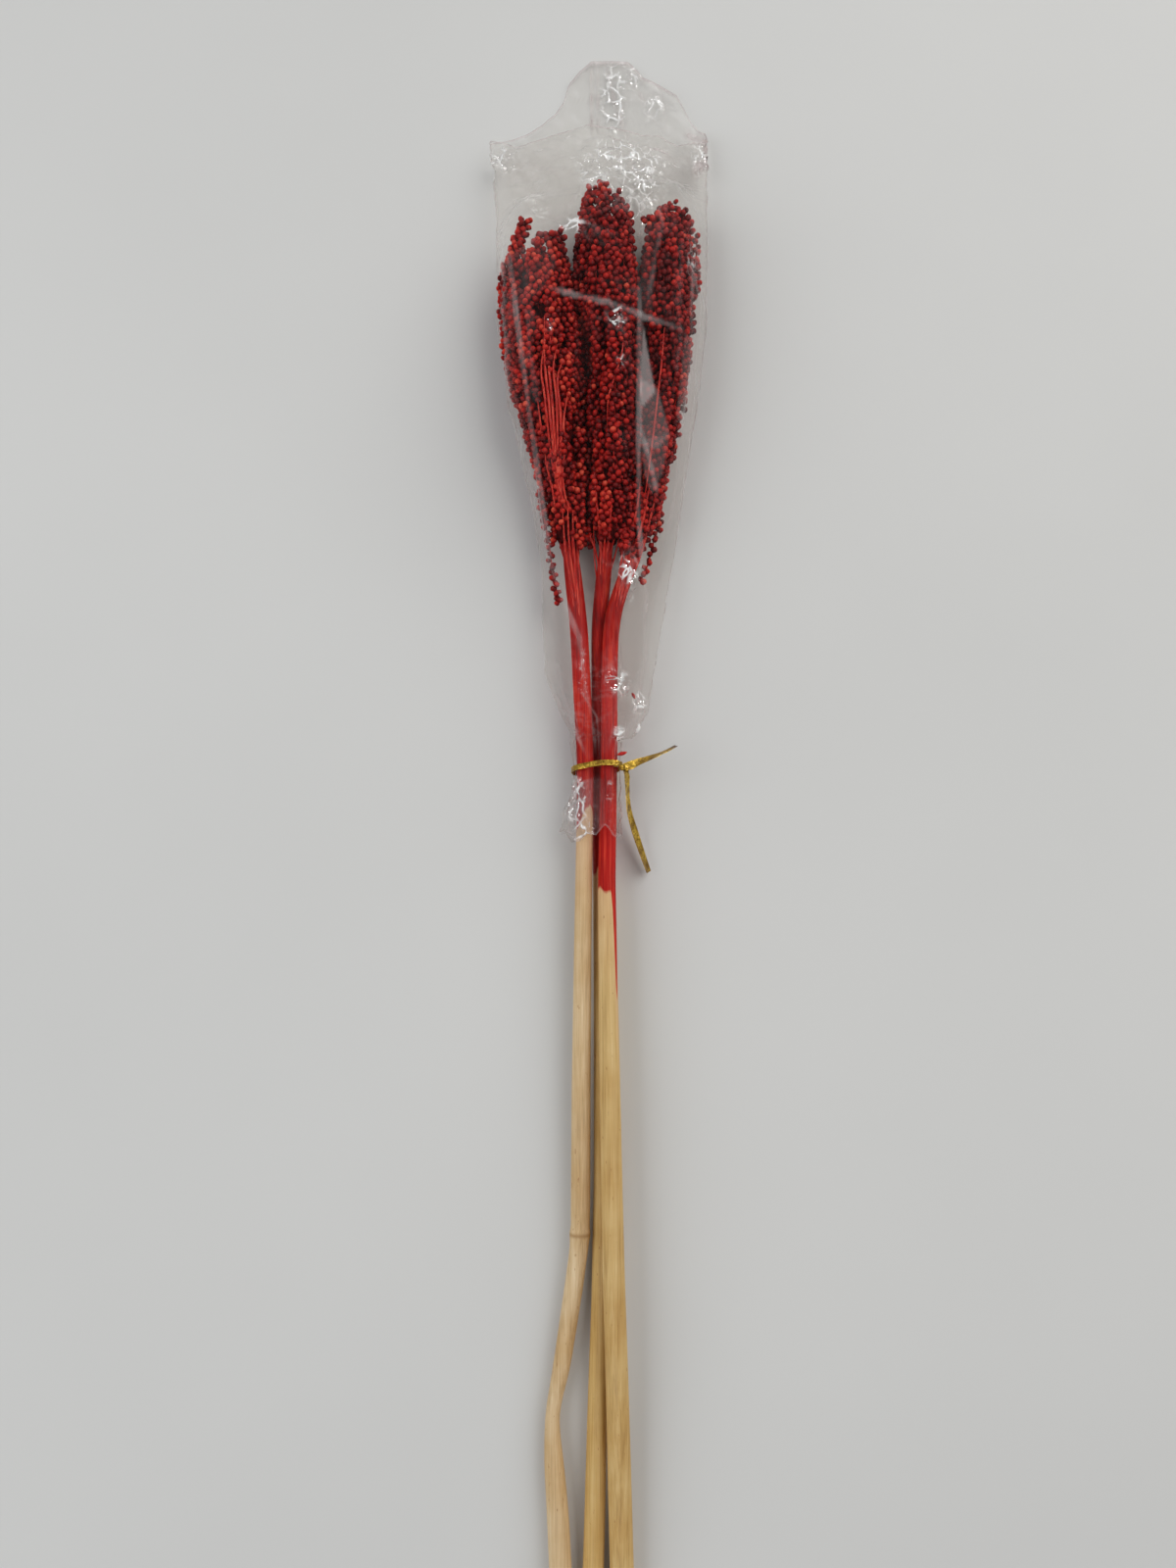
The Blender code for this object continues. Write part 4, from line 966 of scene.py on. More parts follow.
def film_supports(y):
    """Ovals (x, z, half width, half height) that hold the film out at y."""
    ovals = []
    for side in HEADS:
        for place in ((y - SECTION_REACH, y, y + SECTION_REACH) if y > 80 else (y,)):
            table = head_table[side] if place > 80 else stem_table[side]
            if place < table[0][-1]:
                ovals.append(at(table, place))
    if y < SKIRT_EAR[-1][0]:
        ovals.append((np.interp(y, *np.array(SKIRT_EAR).T), 10.5, 0.5, 0.5))
    if y >= SLEEVE[0][0]:
        left, right, height, top = at(sleeve_table, min(y, MOUTH))
        ovals.append((left + FOLD_INSET, height, FOLD_RADIUS, FOLD_RADIUS))
        ovals.append((right - FOLD_INSET, height, FOLD_RADIUS, FOLD_RADIUS))
        if y > 40:
            ovals.append(((left + right) / 2, top / 2, AIR_SHARE * (right - left), top / 2 - AIR_CLEAR))
    return np.array(ovals, float)


def film_section(y, count):
    """count points round the film at y, from the right fold over the top and back underneath."""
    ovals = film_supports(y)
    gap = FILM_GAP + (NECK_GAP if y < 80 else 0.0)
    flare, aside = at(skirt_table, y) if y < 12 else (0.0, 0.0)
    pull = (ways_round @ ovals[:, :2].T + np.hypot(
        ways_round[:, [0]] * ovals[:, 2], ways_round[:, [1]] * ovals[:, 3])).max(axis=1) + gap + flare
    c, s = ways_round.T
    c2, s2, pull2 = np.roll(c, -1), np.roll(s, -1), np.roll(pull, -1)
    turned = c * s2 - s * c2
    corners = np.stack([(pull * s2 - pull2 * s) / turned, (c * pull2 - c2 * pull) / turned], axis=1)
    corners[:, 0] += aside
    middle = DIRECTIONS // 2
    ends = [(corners[-1] + corners[0]) / 2, (corners[middle - 1] + corners[middle]) / 2]
    over = np.vstack([ends[0], corners[:middle], ends[1]])
    under = np.vstack([ends[1], corners[middle:], ends[0]])
    ring = []
    for chain in (over, under):
        run = np.concatenate([[0], np.cumsum(np.linalg.norm(np.diff(chain, axis=0), axis=1))])
        places_on = np.linspace(0, run[-1], count // 2, endpoint=False)
        ring.append(np.stack([np.interp(places_on, run, chain[:, k]) for k in (0, 1)], axis=1))
    return np.vstack(ring)


AROUND = 256
stations = np.concatenate([np.arange(SKIRT_END, NECK_TOP, 0.9), np.arange(NECK_TOP, 286, 1.5),
                           np.linspace(286, MOUTH, 56)])
rings = np.array([film_section(float(y), AROUND) for y in stations])
print("the film has", len(stations), "sections of", AROUND, "points")

# %% [markdown]
# ## Folds, pleats and creases
# Thin film can't stretch, so it creases: straight sharp lines with flat facets between them. A few folded
# waves in random directions, added together, give such facets. They are strong at the mouth and at the
# neck. The long folds over the heads, the creases of the back panel and the rolled right corner are laid
# along lines that are seen in the photo. Where film lies folded on itself it is also milkier, so each
# fold paints a number on its points, which the material reads.

# %% Crease helpers
def zigzag(values):
    """A folded wave from 0 to 1 with a period of 1."""
    return 2 * np.abs(values - np.round(values))


def crumple(across, along, size, folds, word):
    """Facets between straight creases, about size millimetres apart, from -1 to 1."""
    draw = random.Random("crumple " + word)
    height = np.zeros_like(across)
    for _ in range(folds):
        turn = draw.uniform(0, math.pi)
        wave = size * draw.uniform(0.7, 1.8)
        warp = 0.12 * np.sin(along / (size * draw.uniform(1.5, 3)) + draw.uniform(0, 6))
        folded = (across * math.cos(turn) + along * math.sin(turn)) / wave + draw.random() + warp
        height += zigzag(folded) - 0.5
    return height * 2 / math.sqrt(folds)


def smooth_step(values, low, high):
    """0 below low, 1 above high and a smooth rise between."""
    t = np.clip((values - low) / (high - low), 0, 1)
    return t * t * (3 - 2 * t)


def away_from(x, y, line):
    """How far each point is from a line of (x, y) points, on which side of it and how far along it."""
    best = np.full(x.shape, 1e9)
    aside, along = np.zeros(x.shape), np.zeros(x.shape)
    for n, ((ax, ay), (bx, by)) in enumerate(zip(line, line[1:])):
        dx, dy = bx - ax, by - ay
        t = np.clip(((x - ax) * dx + (y - ay) * dy) / (dx * dx + dy * dy), 0, 1)
        far = np.hypot(x - ax - t * dx, y - ay - t * dy)
        nearer = far < best
        aside = np.where(nearer, np.sign((x - ax) * dy - (y - ay) * dx), aside)
        along = np.where(nearer, (n + t) / (len(line) - 1), along)
        best = np.minimum(best, far)
    return best, aside, along


def within(x, y, corners, soft=0.5):
    """1 inside a patch whose corners turn left all round it, and 0 outside."""
    share = np.ones(x.shape)
    for (ax, ay), (bx, by) in zip(corners, corners[1:] + corners[:1]):
        across = ((bx - ax) * (y - ay) - (by - ay) * (x - ax)) / math.hypot(bx - ax, by - ay)
        share *= smooth_step(across, -soft, soft)
    return share


sample = crumple(np.arange(4.0), np.arange(4.0), 9, 5, "try")
print("a crease helper gives heights such as", np.round(sample, 2))

# %% Rims and folds
FRONT_RIM = [(-56, 326), (-41, 320.3), (-30, 322.5), (-5, 328), (17.7, 324.7), (31.3, 324.1),
             (40.3, 319.5), (56, 326)]
FLAP = [(-56, 326), (-41.4, 330.4), (-34, 334.8), (-28.3, 339.4), (-22, 346.5), (-17.7, 354), (-14.7, 365),
        (-9, 372), (-3.4, 377.6), (5, 378), (16, 377.4), (20, 373), (23.2, 368.6), (32, 363), (41, 356),
        (45, 347), (48.4, 339), (52, 334), (56, 331)]
FLAP_ROOT = 286.0
FLAP_LIFT, FLAP_WAVE = 0.9, 0.7
# Points of the skirt's cut edge: height of the points, from one to the next, and where they start
SKIRT_POINTS, SKIRT_RISE = [(5.0, 23.0, 0.0), (3.0, 9.0, 0.3)], 1.5
# Folds: layer, line, width, height, milkiness
FOLDS = [
    ("top", [(-43.5, 252), (-42.5, 246), (-40.5, 228), (-38.5, 211), (-32.5, 166), (-26.8, 127), (-23, 99),
             (-16.6, 80), (-9.4, 61), (-5, 30)], 1.5, 0.9, 0.26),
    ("top", [(19.6, 236), (19.2, 206), (18.9, 166), (18.6, 118), (20.3, 99), (22.8, 80), (20, 60)],
     1.4, 1.0, 0.28),
    ("top", [(-26.3, 228.4), (-9.6, 222.4), (4.3, 219.4), (22.8, 212.3), (42.7, 207.3)], 1.8, 0.8, 0.30),
    ("top", [(19.6, 160), (24.3, 141.7), (27.8, 127.2)], 1.5, 0.6, 0.26),
    ("top", [(44.8, 262), (45.4, 234), (43.9, 193), (39.2, 158), (35.1, 123), (30.2, 104), (25, 70)],
     1.2, 0.5, 0.16),
    ("top", [(49.5, 262), (50.0, 234), (47.2, 193), (43.4, 158), (38.6, 123), (34.2, 100)], 1.0, 0.5, 0.12),
    ("top", [(-47.0, 210), (-42.5, 178), (-36.6, 146), (-31.0, 122), (-27.5, 96)], 1.0, 0.5, 0.14),
    ("top", [(-8.5, 66), (-7.5, 44), (-3.2, 22), (-1.0, 4)], 0.9, 0.7, 0.12),
    ("top", [(8.0, 70), (11.2, 46), (7.5, 24), (4.0, 4)], 0.8, 0.8, 0.12),
    ("top", [(24.5, 66), (20.6, 40), (16.0, 22), (9.5, 5)], 1.1, 0.7, 0.16),
    ("top", [(-25.0, 45.3), (-18.1, 30.0), (-12.6, 22.1), (-5.4, 3.2)], 0.8, 0.7, 0.20),
    ("top", [(-5.9, 40.4), (-7.7, 34.4), (-0.9, 22.8), (0.4, 8)], 0.6, 0.6, 0.20),
    ("top", [(23.5, 86.6), (21.3, 50.7), (17.6, 42.2), (13.0, 38.9)], 0.7, 0.6, 0.16),
    ("top", [(19.0, 48.3), (18.4, 23.4), (16.0, 15.9), (7.8, 7.1)], 0.7, 0.6, 0.16),
    ("top", [(-20.8, 56), (-17.0, 36), (-11.0, 18), (-6.0, 5)], 1.1, 0.7, 0.16),
    ("top", [(-30.8, 262), (-23.7, 262), (-16.7, 266), (-8.5, 282), (0, 300)], 1.3, 0.6, 0.14),
    ("top", [(22.5, 214), (27.5, 246), (31, 262), (27, 290)], 1.1, 0.5, 0.12),
    ("bottom", [(-3.4, 379), (-3.2, 356), (-2.9, 333)], 1.0, 0.7, 0.42),
    ("bottom", [(0.2, 379), (0.2, 356), (0.1, 333)], 0.9, 0.5, 0.32),
    ("bottom", [(4.3, 376), (7.8, 359), (12.3, 342), (16.9, 330.6)], 1.3, 1.3, 0.34),
    ("bottom", [(14.0, 376), (19.0, 362), (25.0, 352)], 1.0, 0.6, 0.16),
    ("bottom", [(30.5, 366), (34.0, 352), (36.0, 336)], 1.4, 0.5, 0.12),
    ("top", [(1.0, 321.5), (10.8, 319), (17.2, 315.8), (30.5, 315.2), (41.7, 308.5)], 1.0, 0.9, 0.50),
    ("top", [(-46, 300), (-36, 306), (-24, 300), (-16, 290)], 1.6, 0.6, 0.12),
    ("top", [(-37.5, 246), (-31, 254), (-23.7, 258.5), (-14, 261.5)], 1.6, 1.4, 0.16),
    ("top", [(19, 282), (18, 296), (24, 306)], 0.9, 0.8, 0.10),
]
print("long folds:", len(FOLDS))

# %% Short creases, crinkles and doubled film
# Where short sharp creases lie: how many, layer, middle, spread, usual length and height
CREASE_PATCHES = [
    (46, "top", (14, 303), (20, 15), 9, 0.75), (16, "top", (-48, 314), (7, 5), 6, 0.6),
    (16, "top", (51, 314), (6, 9), 7, 0.6), (16, "top", (0, 285), (36, 16), 12, 0.35),
    (26, "bottom", (12, 352), (17, 18), 12, 0.7), (12, "bottom", (30, 350), (10, 9), 10, 0.5),
    (10, "top", (9, 212), (5, 7), 6, 0.5), (10, "top", (14, 92), (5, 9), 7, 0.6),
    (18, "top", (8, 38), (9, 13), 8, 0.6), (12, "top", (22, 26), (6, 11), 8, 0.5),
    (12, "top", (-10, 20), (9, 15), 8, 0.5), (20, "top", (-9, -21), (5, 8), 5, 0.7),
]
# Where the film is crinkled finely, and where glints are painted white on its creases: middle, spread and
# strength
CRINKLES_AND_GLINTS = [
    ((14, 303), (17, 13), 1.0), ((-2, 296), (8, 12), 0.7), ((-48, 314), (7, 5), 1.0),
    ((53, 316), (5, 9), 0.7), ((8, 356), (6, 18), 0.9), ((17, 368), (9, 7), 0.6), ((30, 350), (8, 8), 0.4),
    ((-30, 292), (7, 8), 0.35), ((9, 212), (3.5, 5), 1.0), ((11, 191), (2, 2.5), 0.8),
    ((-23, 209), (1.6, 3), 0.9), ((-12, 261), (6, 5), 0.7), ((14, 92), (4.5, 6.5), 0.9),
    ((9, 40), (5, 4.5), 1.0), ((19, 31), (3, 4.5), 0.8), ((19, 18), (2.5, 4), 0.7), ((9.5, 15), (3, 4), 0.6),
    ((-7, 44), (2.5, 12), 0.4), ((-10, -16), (4.5, 9), 1.0), ((-7, -30), (4, 5), 0.8),
    ((5, -12), (2.5, 5), 0.5), ((45, 245), (3, 10), 0.35), ((23, 287), (6, 10), 0.8),
]
# Where the film lies folded over itself and looks milkier: milkiness and the corners, turning left
HAZES = [
    (0.36, [(21.0, 210), (19.3, 176), (20.5, 168), (26.5, 176)]),
    (0.15, [(19.3, 182), (19.6, 151), (28.0, 149), (33.5, 157), (27.5, 178)]),
    (0.10, [(19.8, 153), (21.5, 136), (25.0, 128), (30.0, 138), (34.0, 157)]),
    (0.04, [(-43.0, 248), (-43.0, 214), (-27.0, 226), (-20.0, 240), (-24.0, 256)]),
    (0.03, [(20.0, 262), (20.6, 216), (25.5, 214), (29.0, 262)]),
    (0.10, [(41.0, 206), (37.0, 166), (43.5, 160), (47.5, 206)]),
    (0.008, [(-13.0, 72), (-4.5, 8), (-1.5, 6), (-6.0, 62)]),
    (0.03, [(1.0, 52), (1.0, 6), (4.0, 6), (9.5, 40), (7.0, 60)]),
    (0.005, [(-15.0, 95), (-11.5, 44), (-8.0, 62), (-10.0, 88)]),
    (0.15, [(-13.0, -8), (-14.0, -36), (-4.0, -36), (-3.0, -6)]),
    (0.04, [(-3.0, -6), (-3.0, -30), (3.0, -28), (2.0, -6)]),
    (0.05, [(-50.0, 318), (-50.0, 294), (-22.0, 296), (-16.0, 322)]),
    (0.06, [(28.0, 318), (32.0, 292), (50.0, 290), (52.0, 312)]),
]
ROLLED_CORNER, ROLL_WIDTH = [(47, 331), (54, 328), (57.5, 321), (56, 313), (50.4, 308.7)], 2.6
SIDE_FOLD_WIDTH = 0.006  # as a share of the way round
ROLLED_MILK, SIDE_FOLD_MILK, RIM_MILK, SKIRT_MILK, CREASE_MILK = 0.50, 0.34, 0.60, 0.02, 0.05
print("crinkled places:", len(CRINKLES_AND_GLINTS), "and places where film lies on film:", len(HAZES))

# %% Rims and skirt
y_of = np.repeat(stations[:, None], AROUND, axis=1)
x_of, z_of = rings[:, :, 0].copy(), rings[:, :, 1].copy()
upper = np.zeros((len(stations), AROUND), bool)
upper[:, : AROUND // 2 + 1] = True
around_mm = np.cumsum(np.hypot(*(np.roll(rings, -1, axis=1) - rings).transpose(2, 0, 1)), axis=1)

# The front panel's edge is wavy, and the back panel runs on to a point
reach = np.clip((stations - FLAP_ROOT) / (MOUTH - FLAP_ROOT), 0, 1)[:, None]
front = np.interp(x_of, *np.array(FRONT_RIM, float).T) - MOUTH
back = np.interp(x_of, *np.array(FLAP, float).T) - MOUTH
y_of = y_of + np.where(upper, reach**2 * front, reach**1.3 * back)
skirt_pull = np.clip(-stations / -SKIRT_END, 0, 1)[:, None] ** 2
skirt_edge = sum(height * zigzag(around_mm / apart + start) for height, apart, start in SKIRT_POINTS)
y_of = y_of + skirt_pull * (skirt_edge - SKIRT_RISE)

# The way out of the film in its section, from each point's neighbours
step_x = np.roll(x_of, -2, axis=1) - np.roll(x_of, 2, axis=1)
step_z = np.roll(z_of, -2, axis=1) - np.roll(z_of, 2, axis=1)
size = np.maximum(np.hypot(step_x, step_z), 1e-6)
out_x, out_z = step_z / size, -step_x / size
print("the rims reach from", round(float(y_of.min())), "to", round(float(y_of.max())), "mm")

# %% Pleats and facets
# From 0 to 1: where the film is gathered, held tight, flared, open at the mouth or crumpled
neck = 1 - smooth_step(stations, 20, 110)[:, None]
tight = np.exp(-((stations / 5.0) ** 2))[:, None]
skirt = smooth_step(-stations, 2, 26)[:, None]
turn_share = (np.arange(AROUND) / AROUND)[None, :]
# Two sets of pleats: how many round the neck, drift for each millimetre, start and share
PLEATS, PLEAT_HEIGHT = [(11, 0.006, 0.0, 1.0), (19, -0.009, 0.4, 0.6)], 1.5
pleats = sum(share * (zigzag(turn_share * count + drift * stations[:, None] + start) - 0.5)
             for count, drift, start, share in PLEATS)
push = neck * (1 - tight * 0.75) * (1 - skirt * 0.2) * PLEAT_HEIGHT * pleats
mouth = smooth_step(stations, 272, 312)[:, None] * np.where(upper, 1.0, 0.45)
centre = np.exp(-(((x_of - 12) / 26) ** 2)) * np.exp(-(((y_of - 305) / 24) ** 2))
corner_left = np.exp(-(((x_of + 48) / 9) ** 2) - ((y_of - 316) / 9) ** 2)
corner_right = np.exp(-(((x_of - 53) / 9) ** 2) - ((y_of - 318) / 12) ** 2)
middle = smooth_step(stations, 90, 150)[:, None]
mostly_top = np.where(upper, 1, 0.2)
# Facets: word for the draws, where they are, height in mm, size in mm and how many folds make them
FACETS = [
    ("skirt", skirt, 0.85, 7, 5), ("long", middle * mostly_top, 0.42, 22, 6), ("mouth", mouth, 0.9, 13, 6),
    ("centre", centre * mostly_top, 0.9, 6, 5), ("corners", corner_left + corner_right, 1.0, 5, 5),
    ("neck", neck * (1 - tight), 0.35, 8, 5), ("fine", 1 - tight, 0.10, 5, 6),
]
for word, where, height, facet_size, folds in FACETS:
    push = push + height * where * crumple(around_mm, y_of, facet_size, folds, word)
print("pleats and facets push the film up to", round(float(np.abs(push).max()), 1), "mm")

# %% Folds and short creases
milk = np.zeros(x_of.shape)
for layer, line, width, height, milky in FOLDS:
    on_layer = upper if layer == "top" else ~upper
    far, aside, along = away_from(x_of, y_of, line)
    fade = np.clip(np.minimum(along, 1 - along) / 0.14, 0, 1)
    fade = fade * (0.75 + 0.25 * np.sin(along * 23 + width * 9))
    wide = width * (0.45 + 0.55 * fade)
    ridge = np.clip(1 - far / wide, 0, 1)
    push += np.where(on_layer, height * ridge * (0.6 + 0.4 * aside) * fade, 0)
    milk += np.where(on_layer, milky * smooth_step(wide - far, -0.3, 0.7) * fade, 0)
draw = random.Random("short creases")
for count, layer, middle_of_patch, spread, long, height in CREASE_PATCHES:
    on_layer = upper if layer == "top" else ~upper
    for _ in range(count):
        start = tuple(draw.gauss(m, s / 2) for m, s in zip(middle_of_patch, spread))
        turn, reach_of = draw.uniform(0, 2 * math.pi), long * draw.uniform(0.5, 1.6)
        knee = (start[0] + reach_of * 0.5 * math.cos(turn), start[1] + reach_of * 0.5 * math.sin(turn))
        turn += draw.uniform(-0.6, 0.6)
        end = (knee[0] + reach_of * 0.5 * math.cos(turn), knee[1] + reach_of * 0.5 * math.sin(turn))
        rise, wide = height * draw.uniform(-1, 1), draw.uniform(1.0, 2.2)
        near = on_layer & (np.hypot(x_of - knee[0], y_of - knee[1]) < reach_of)
        far, _, along = away_from(x_of[near], y_of[near], [start, knee, end])
        ends = np.clip(np.minimum(along, 1 - along) / 0.3, 0, 1)
        push[near] += rise * np.clip(1 - far / wide, 0, 1) * ends
        milk[near] += CREASE_MILK * (far < 0.6)
print("short creases:", sum(patch[0] for patch in CREASE_PATCHES))

# %% Crinkled places with painted glints, and milky places
crinkle = np.zeros(x_of.shape)
for (x, y), (across, along), strength in CRINKLES_AND_GLINTS:
    spot = np.exp(-(((x_of - x) / across) ** 2) - ((y_of - y) / along) ** 2)
    crinkle = np.maximum(crinkle, strength * spot)
for milky, corners in HAZES:
    milk += np.where(upper, milky * within(x_of, y_of, corners), 0)
rolled = np.exp(-((away_from(x_of, y_of, ROLLED_CORNER)[0] / ROLL_WIDTH) ** 2))
milk += ROLLED_MILK * rolled
to_side = np.minimum(np.abs(turn_share), np.minimum(np.abs(turn_share - 0.5), 1 - turn_share))
side_fold = np.exp(-((to_side / SIDE_FOLD_WIDTH) ** 2))
milk += SIDE_FOLD_MILK * side_fold * smooth_step(stations, 30, 80)[:, None]
rim = np.zeros(x_of.shape)
rim[-1], rim[-2], rim[0], rim[1] = 1.0, 0.5, 0.5, 0.2
milk += RIM_MILK * rim
milk += SKIRT_MILK * skirt
print("the milkiest place has", round(float(milk.max()), 2))

# %% Lay the film
x_of = x_of + out_x * push
z_of = np.maximum(z_of + out_z * push, FLAT_GAP)
flap_part = np.where(upper, 0, reach)
flap_height = FLAP_LIFT + FLAP_WAVE * np.sin(x_of / 9.0 + y_of / 14.0)
flap_height = flap_height + 0.35 * crumple(x_of, y_of, 15, 6, "flap")
z_of = z_of + flap_part * flap_height
z_of = np.maximum(z_of, FLAT_GAP)
widest = round(float(around_mm[:, -1].max()))
print("film points:", x_of.size, "and the widest way round is", widest, "mm")

# %% Wrap a grid into the sleeve
start_fresh()
bpy.ops.mesh.primitive_grid_add(x_subdivisions=AROUND, y_subdivisions=len(stations) - 1, size=1)
film = bpy.context.object
film.name = film.data.name = "film_sleeve_skin"
grid = places(film.data)
column = np.rint((grid[:, 0] * MM + 0.5) * AROUND).astype(int)
row = np.rint((grid[:, 1] * MM + 0.5) * (len(stations) - 1)).astype(int)
wrapped = column % AROUND
move_to(film.data, np.stack([x_of[row, wrapped], y_of[row, wrapped], z_of[row, wrapped]], axis=1))
paint(film.data, "milk", milk[row, wrapped])
paint(film.data, "crinkle", crinkle[row, wrapped])
bpy.ops.object.mode_set(mode="EDIT")
bpy.ops.mesh.select_all(action="SELECT")
bpy.ops.mesh.remove_doubles(threshold=0.001 * MM)
bpy.ops.mesh.normals_make_consistent(inside=False)
bpy.ops.object.mode_set(mode="OBJECT")
bpy.ops.object.shade_smooth()
area = sum(f.area for f in film.data.polygons)
print("film area:", round(area * 1e4), "square centimetres")

# %% [markdown]
# ## The finish of the film
# Clear film shows by three things: sharp highlights, a faint milky veil over dark things behind it, and
# greyer lines where it is folded or seen edge-on. So the material is mostly a Transparent shader. A thin
# share of pale matt film is mixed in by the painted numbers, and a mirror-like share by how far the film
# turns away (Layer Weight, which is the same on both sides of a thin skin). The finest creases are the
# borders of a cell pattern, and where the film is crinkled they are painted white: partly the whitening of
# creased film, partly painted glints.

# %% Film finish
film_finish = bpy.data.materials.new("clear_film")
film_finish.use_nodes = True
tree = film_finish.node_tree
tree.nodes.clear()
milk_painted = add_node(tree, "ShaderNodeAttribute", attribute_name="milk").outputs["Fac"]
crinkle_and_glint_mask = add_node(tree, "ShaderNodeAttribute", attribute_name="crinkle").outputs["Fac"]
place = add_node(tree, "ShaderNodeTexCoord").outputs["Object"]
bend = add_node(tree, "ShaderNodeTexNoise", {"Vector": place, "Scale": 70.0, "Detail": 2.0}).outputs["Color"]
bent = add_node(tree, "ShaderNodeVectorMath", {0: bend}, operation="MULTIPLY")
bent.inputs[1].default_value = (0.010, 0.010, 0.010)
bent = add_node(tree, "ShaderNodeVectorMath", {0: place, 1: bent.outputs[0]}, operation="ADD").outputs[0]


def add_cells(scale, stretch, feature):
    """Cells with straight borders, as creased film has, on the bent place."""
    turned = add_node(tree, "ShaderNodeMapping", {"Vector": bent, "Scale": stretch}).outputs["Vector"]
    return add_node(tree, "ShaderNodeTexVoronoi", {"Vector": turned, "Scale": scale}, feature=feature)


LONG_FACETS, SMALL_FACETS = (1, 0.22, 1), (1, 0.8, 1)
facet = add_node(tree, "ShaderNodeSeparateColor", {
    0: add_cells(110.0, LONG_FACETS, "F1").outputs["Color"]}).outputs[0]
veil = add_node(tree, "ShaderNodeMapRange", {
    "Value": facet, "From Min": 0.5, "From Max": 1.0, "To Min": 0.0, "To Max": 0.006}).outputs["Result"]
edge_on = add_node(tree, "ShaderNodeLayerWeight", {"Blend": 0.5}).outputs["Facing"]
edge_on = add_sum(tree, "MULTIPLY", add_sum(tree, "POWER", edge_on, 3.0), 0.20)
border = add_cells(185.0, SMALL_FACETS, "DISTANCE_TO_EDGE").outputs["Distance"]
ridge = add_node(tree, "ShaderNodeMapRange", {
    "Value": border, "From Min": 0.0, "From Max": 0.20, "To Min": 1.0, "To Max": 0.0}).outputs["Result"]
broken = add_ramp(tree, add_pattern(tree, 170, detail=2), [(0.42, (0.0,)), (0.54, (1.0,))])
# White lines on the cell borders where the film is crinkled: partly the whitening of creased film, partly
# painted glints
painted_glint_line = add_node(tree, "ShaderNodeMapRange", {
    "Value": border, "From Min": 0.03, "From Max": 0.11, "To Min": 1.0, "To Max": 0.0}).outputs["Result"]
strong = add_node(tree, "ShaderNodeMapRange", {
    "Value": crinkle_and_glint_mask, "From Min": 0.15, "From Max": 0.6, "To Max": 0.95}).outputs["Result"]
painted_glint_line = add_sum(tree, "MULTIPLY", add_sum(tree, "MULTIPLY", painted_glint_line, strong), broken)
ridge = add_sum(tree, "MULTIPLY", ridge, crinkle_and_glint_mask)
milky = add_sum(tree, "ADD", add_sum(tree, "ADD", milk_painted, veil), edge_on)
milky = add_sum(tree, "ADD", milky, add_sum(tree, "MULTIPLY", ridge, 0.10), clamp=True)
clear = add_node(tree, "ShaderNodeBsdfTransparent", {"Color": (0.968, 0.960, 0.948, 1)})
pale = add_node(tree, "ShaderNodeBsdfPrincipled", {
    "Base Color": (0.56, 0.48, 0.47, 1), "Roughness": 0.5, "Specular IOR Level": 0.2})
fine = add_pattern(tree, 240, detail=3)
height = add_sum(tree, "ADD", add_sum(tree, "MULTIPLY", fine, 0.15), ridge)
bump = add_node(tree, "ShaderNodeBump", {"Height": height, "Distance": 0.7 * MM}).outputs["Normal"]
dullness = add_node(tree, "ShaderNodeMapRange", {
    "Value": crinkle_and_glint_mask, "From Min": 0.05, "From Max": 0.5,
    "To Min": 0.34, "To Max": 0.10}).outputs["Result"]
mirror = add_node(tree, "ShaderNodeBsdfGlossy", {
    "Color": (1, 1, 1, 1), "Roughness": dullness, "Normal": bump})
facing = add_node(tree, "ShaderNodeLayerWeight", {"Blend": 0.5, "Normal": bump}).outputs["Facing"]
shine = add_sum(tree, "MULTIPLY", add_sum(tree, "POWER", facing, 5.0), 0.85)
mirror_share = add_sum(tree, "MULTIPLY_ADD", crinkle_and_glint_mask, 0.08)
mirror_share.node.inputs[2].default_value = 0.006
shine = add_sum(tree, "ADD", shine, mirror_share, clamp=True)
veiled = add_node(tree, "ShaderNodeMixShader", {0: milky})
tree.links.new(clear.outputs[0], veiled.inputs[1])
tree.links.new(pale.outputs[0], veiled.inputs[2])
# The white of those lines, a painted glint colour
white = add_node(tree, "ShaderNodeBsdfPrincipled", {
    "Base Color": (0.96, 0.96, 0.95, 1), "Roughness": 0.25, "Specular IOR Level": 0.5})
creased = add_node(tree, "ShaderNodeMixShader", {0: painted_glint_line})
tree.links.new(veiled.outputs[0], creased.inputs[1])
tree.links.new(white.outputs[0], creased.inputs[2])
glossy = add_node(tree, "ShaderNodeMixShader", {0: shine})
tree.links.new(creased.outputs[0], glossy.inputs[1])
tree.links.new(mirror.outputs[0], glossy.inputs[2])
output = add_node(tree, "ShaderNodeOutputMaterial")
tree.links.new(glossy.outputs[0], output.inputs["Surface"])

# The sleeve's cut, front and back in one piece: a wedge, as sleeves for cut flowers are
hand_over(film, film_finish, "clear_film", "film_sleeve")

# %% [markdown]
# ## The twist tie
# The tie is a narrow foil ribbon with a thin wire along each edge. It goes once round the neck, twists on
# itself in a knot and ends in two tails. Each run is a flat strip of faces that is laid along its path and
# turned about it, with raised edges over the wires, and then given its thickness.

# %% Tie finish
foil_finish, tree, shader = new_material("gold_foil", metallic=0.65, roughness=0.3)
wrinkles = add_pattern(tree, 900, detail=4)
